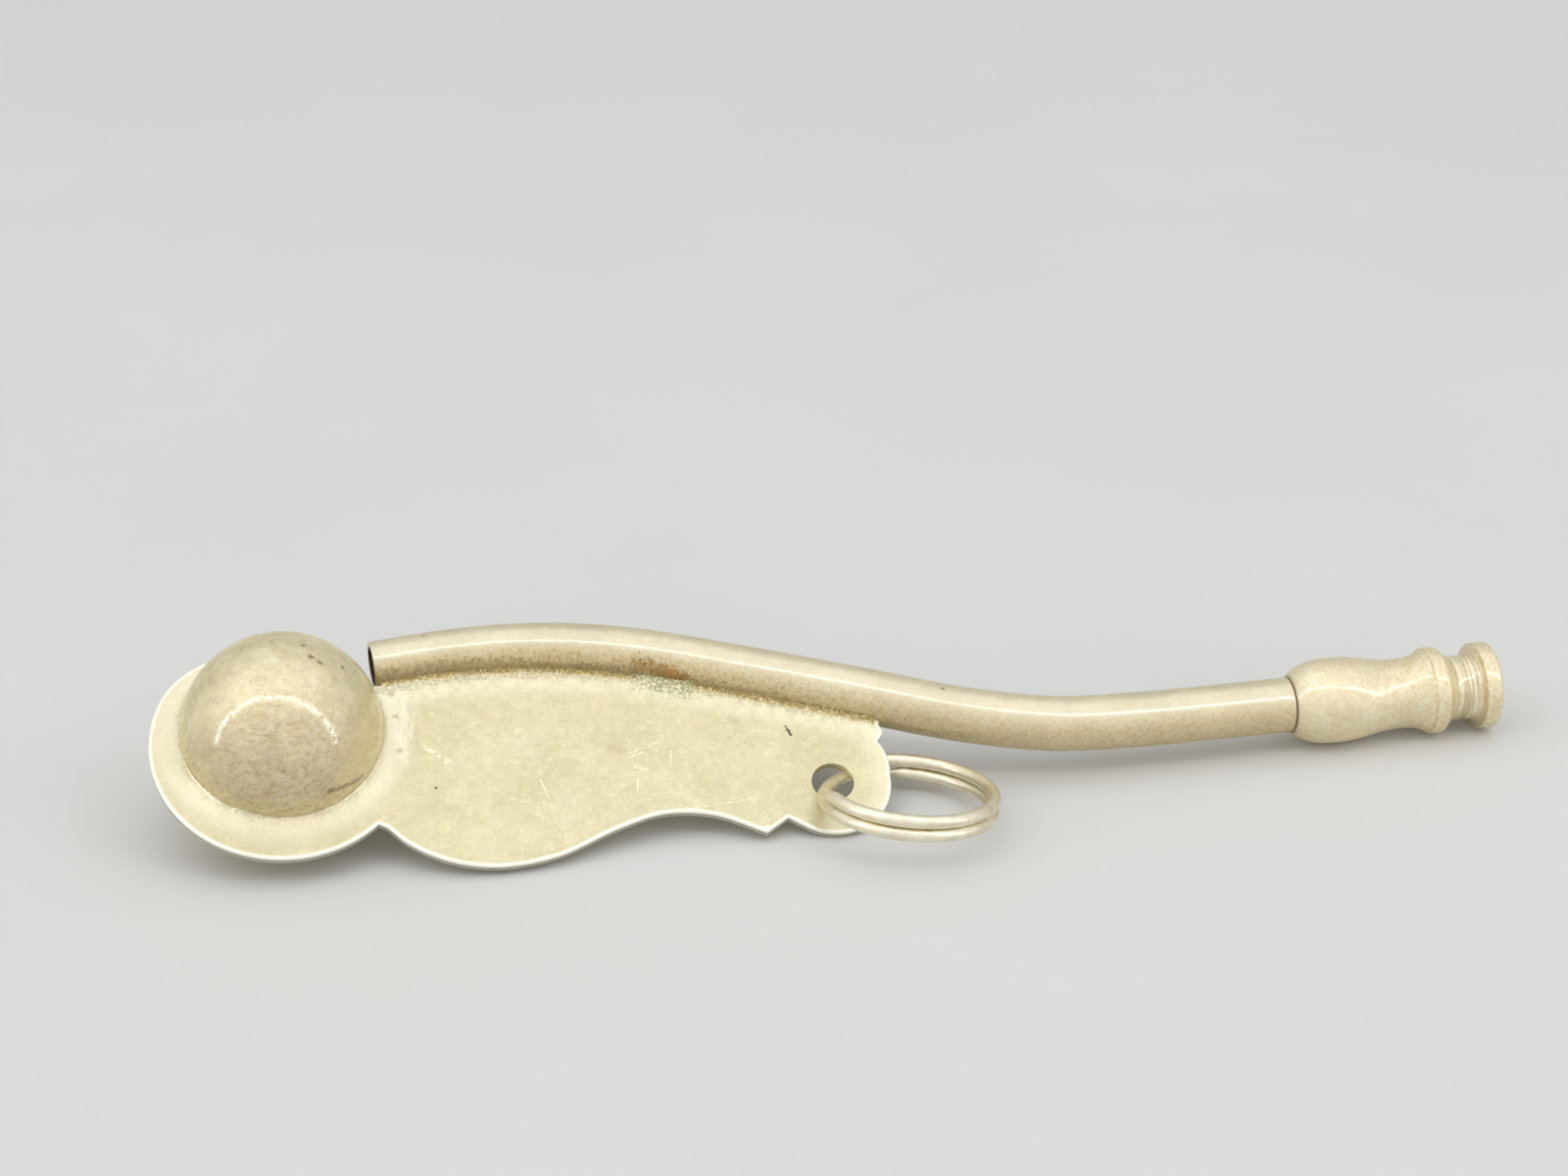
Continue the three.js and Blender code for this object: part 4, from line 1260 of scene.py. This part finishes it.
def table_finish():
    f = Finish("pale_table", Matrix.Scale(MM, 4))
    cloud = f.grain(0.02, 4.0)
    f.ground(TABLE_TONES, cloud)
    return f.shade(0.75, cloud, relief=0.01, metallic=0.0)


# Each piece rides on its body and stands for its node, whose imported part is hidden.
def settle(piece, body, slot, *nodes):
    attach(piece, body)
    if nodes:
        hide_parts(*nodes)


def fit(name, mesh, finish, slot, node, window=False, degrees=CRISP):
    piece = new_piece(name, mesh)
    piece.data.materials.append(finish)
    if window:
        open_window(piece)
    soften(piece, degrees)
    settle(piece, "call", slot, node)


def build_call():
    fit("keel", keel_plate(), keel_finish(), "keel", "keel_plate", window=True)
    shell_metal = ball_finish()
    bright = ball_solder_finish()
    rough = solder_finish()
    beds = []
    for side, word in ((1, "front"), (-1, "back")):
        fit(f"ball_{word}", ball_shell(side), shell_metal, "buoy", f"buoy_{word}_shell", window=True)
        bead, fillet = ball_fillet(side), tube_fillet(side)
        fit(f"ball_solder_{word}", bead, bright, "solder", f"buoy_solder_{word}", degrees=SOLDER_CRISP)
        fit(f"tube_solder_{word}", fillet, rough, "solder", f"gun_solder_{word}", degrees=SOLDER_CRISP)
        beds.append(fillet)
    settle(grains("solder_grains", beds, GRAIN_SIZE, GRAIN_DENSITY, rough), "call", "solder")
    settle(grains("flux_crumbs", [crumb_bed()], CRUMB_SIZE, CRUMB_DENSITY, crumb_finish()), "call", "solder")
    tube = tube_piece(tube_finish(), bore_shade_finish())
    soften(tube)
    settle(tube, "call", "gun", "gun_tube")
    turned = lay(mesh_from(lathe(mouthpiece_profile(), TURNED_SIDES), "turned"), MOUTHPIECE)
    fit("turned_mouthpiece", turned, mouthpiece_finish(), "mouthpiece", "mouthpiece")


def build_ring():
    ring = ring_piece(ring_finish())
    soften(ring)
    settle(ring, "ring", "ring", "split_ring")


# Table, light and camera
def build_table():
    bm = bmesh.new()
    bmesh.ops.create_grid(bm, x_segments=1, y_segments=1, size=TABLE_REACH)
    table = new_piece("table", mesh_from(bm, "table"))
    table.data.materials.append(table_finish())


# How much brighter a beam is along its middle when it is narrowed at the same power
def beam_gain(spread):
    half = rad(spread) / 2
    return 1 / (math.sin(half) ** 2 - (half - math.sin(2 * half) / 2) / math.tan(half))


# A rectangle of light that faces an aim, its long side lying along a given direction
def area_light(name, place, aim, along, length, width, radiance, spread=FULL_SPREAD):
    lamp = bpy.data.lights.new(name, "AREA")
    lamp.shape = "RECTANGLE"
    lamp.size = length
    lamp.size_y = width
    lamp.spread = rad(spread)
    lamp.energy = radiance * math.pi * length * width / beam_gain(spread)
    holder = new_piece(name, lamp)
    back = (place - aim).normalized()
    long_side = (along - back * along.dot(back)).normalized()
    turn = Matrix((long_side, back.cross(long_side), back)).transposed()
    holder.matrix_world = Matrix.Translation(place) @ turn.to_4x4()


def build_light():
    world = bpy.data.worlds.new("room")
    world.use_nodes = True
    bench = Bench(world.node_tree)
    x, y, z = bench.split(bench.add("ShaderNodeTexCoord"))
    # The room is dimmer low down behind the call.
    glow = bench.ease(y - z + x * ROOM_SLANT, *ROOM_DIMS, ROOM, ROOM_BEHIND)
    bench.feed(world.node_tree.nodes["Background"].inputs["Color"], glow)
    bpy.context.scene.world = world
    area_light("ceiling", CEILING_AT, Vector(), Vector((1, 0, 0)), *CEILING_SIZE, CEILING)
    # An arch of thin strips stands just before the call and draws the bright lines on its round pieces.
    view = (CAMERA_AIM - CAMERA_AT) * Vector((1, 1, 0))
    nearer = -view.normalized()
    across = OUT.cross(nearer)
    length = 2 * ARCH_RADIUS * math.tan(math.pi / 2 / ARCH_STRIPS)
    for i in range(ARCH_STRIPS):
        angle = math.pi * (i + 0.5) / ARCH_STRIPS
        rise = math.sin(angle)
        out = across * math.cos(angle) + OUT * rise
        tangent = OUT * math.cos(angle) - across * rise
        place = ARCH_AT + nearer * ARCH_NEARER + out * ARCH_RADIUS
        radiance = ARCH * blend(1, ARCH_FEET, abs(math.cos(angle)))
        spread = FOOT_SPREAD if rise < math.sin(rad(FOOT_RISE)) else FULL_SPREAD
        area_light(f"arch_{i}", place, ARCH_AT, tangent, length, ARCH_WIDTH, radiance, spread)


def build_camera():
    lens = bpy.data.cameras.new("camera")
    lens.lens = LENS
    lens.clip_start = CAMERA_NEAREST
    camera = new_piece("camera", lens)
    look = (CAMERA_AIM - CAMERA_AT).to_track_quat("-Z", "Y").to_matrix().to_4x4()
    camera.matrix_world = Matrix.Translation(CAMERA_AT) @ look @ Matrix.Rotation(rad(CAMERA_ROLL), 4, "Z")
    bpy.context.scene.camera = camera


build_camera()
build_call()
build_ring()
build_table()
build_light()
bpy.context.scene.view_settings.view_transform = "Standard"
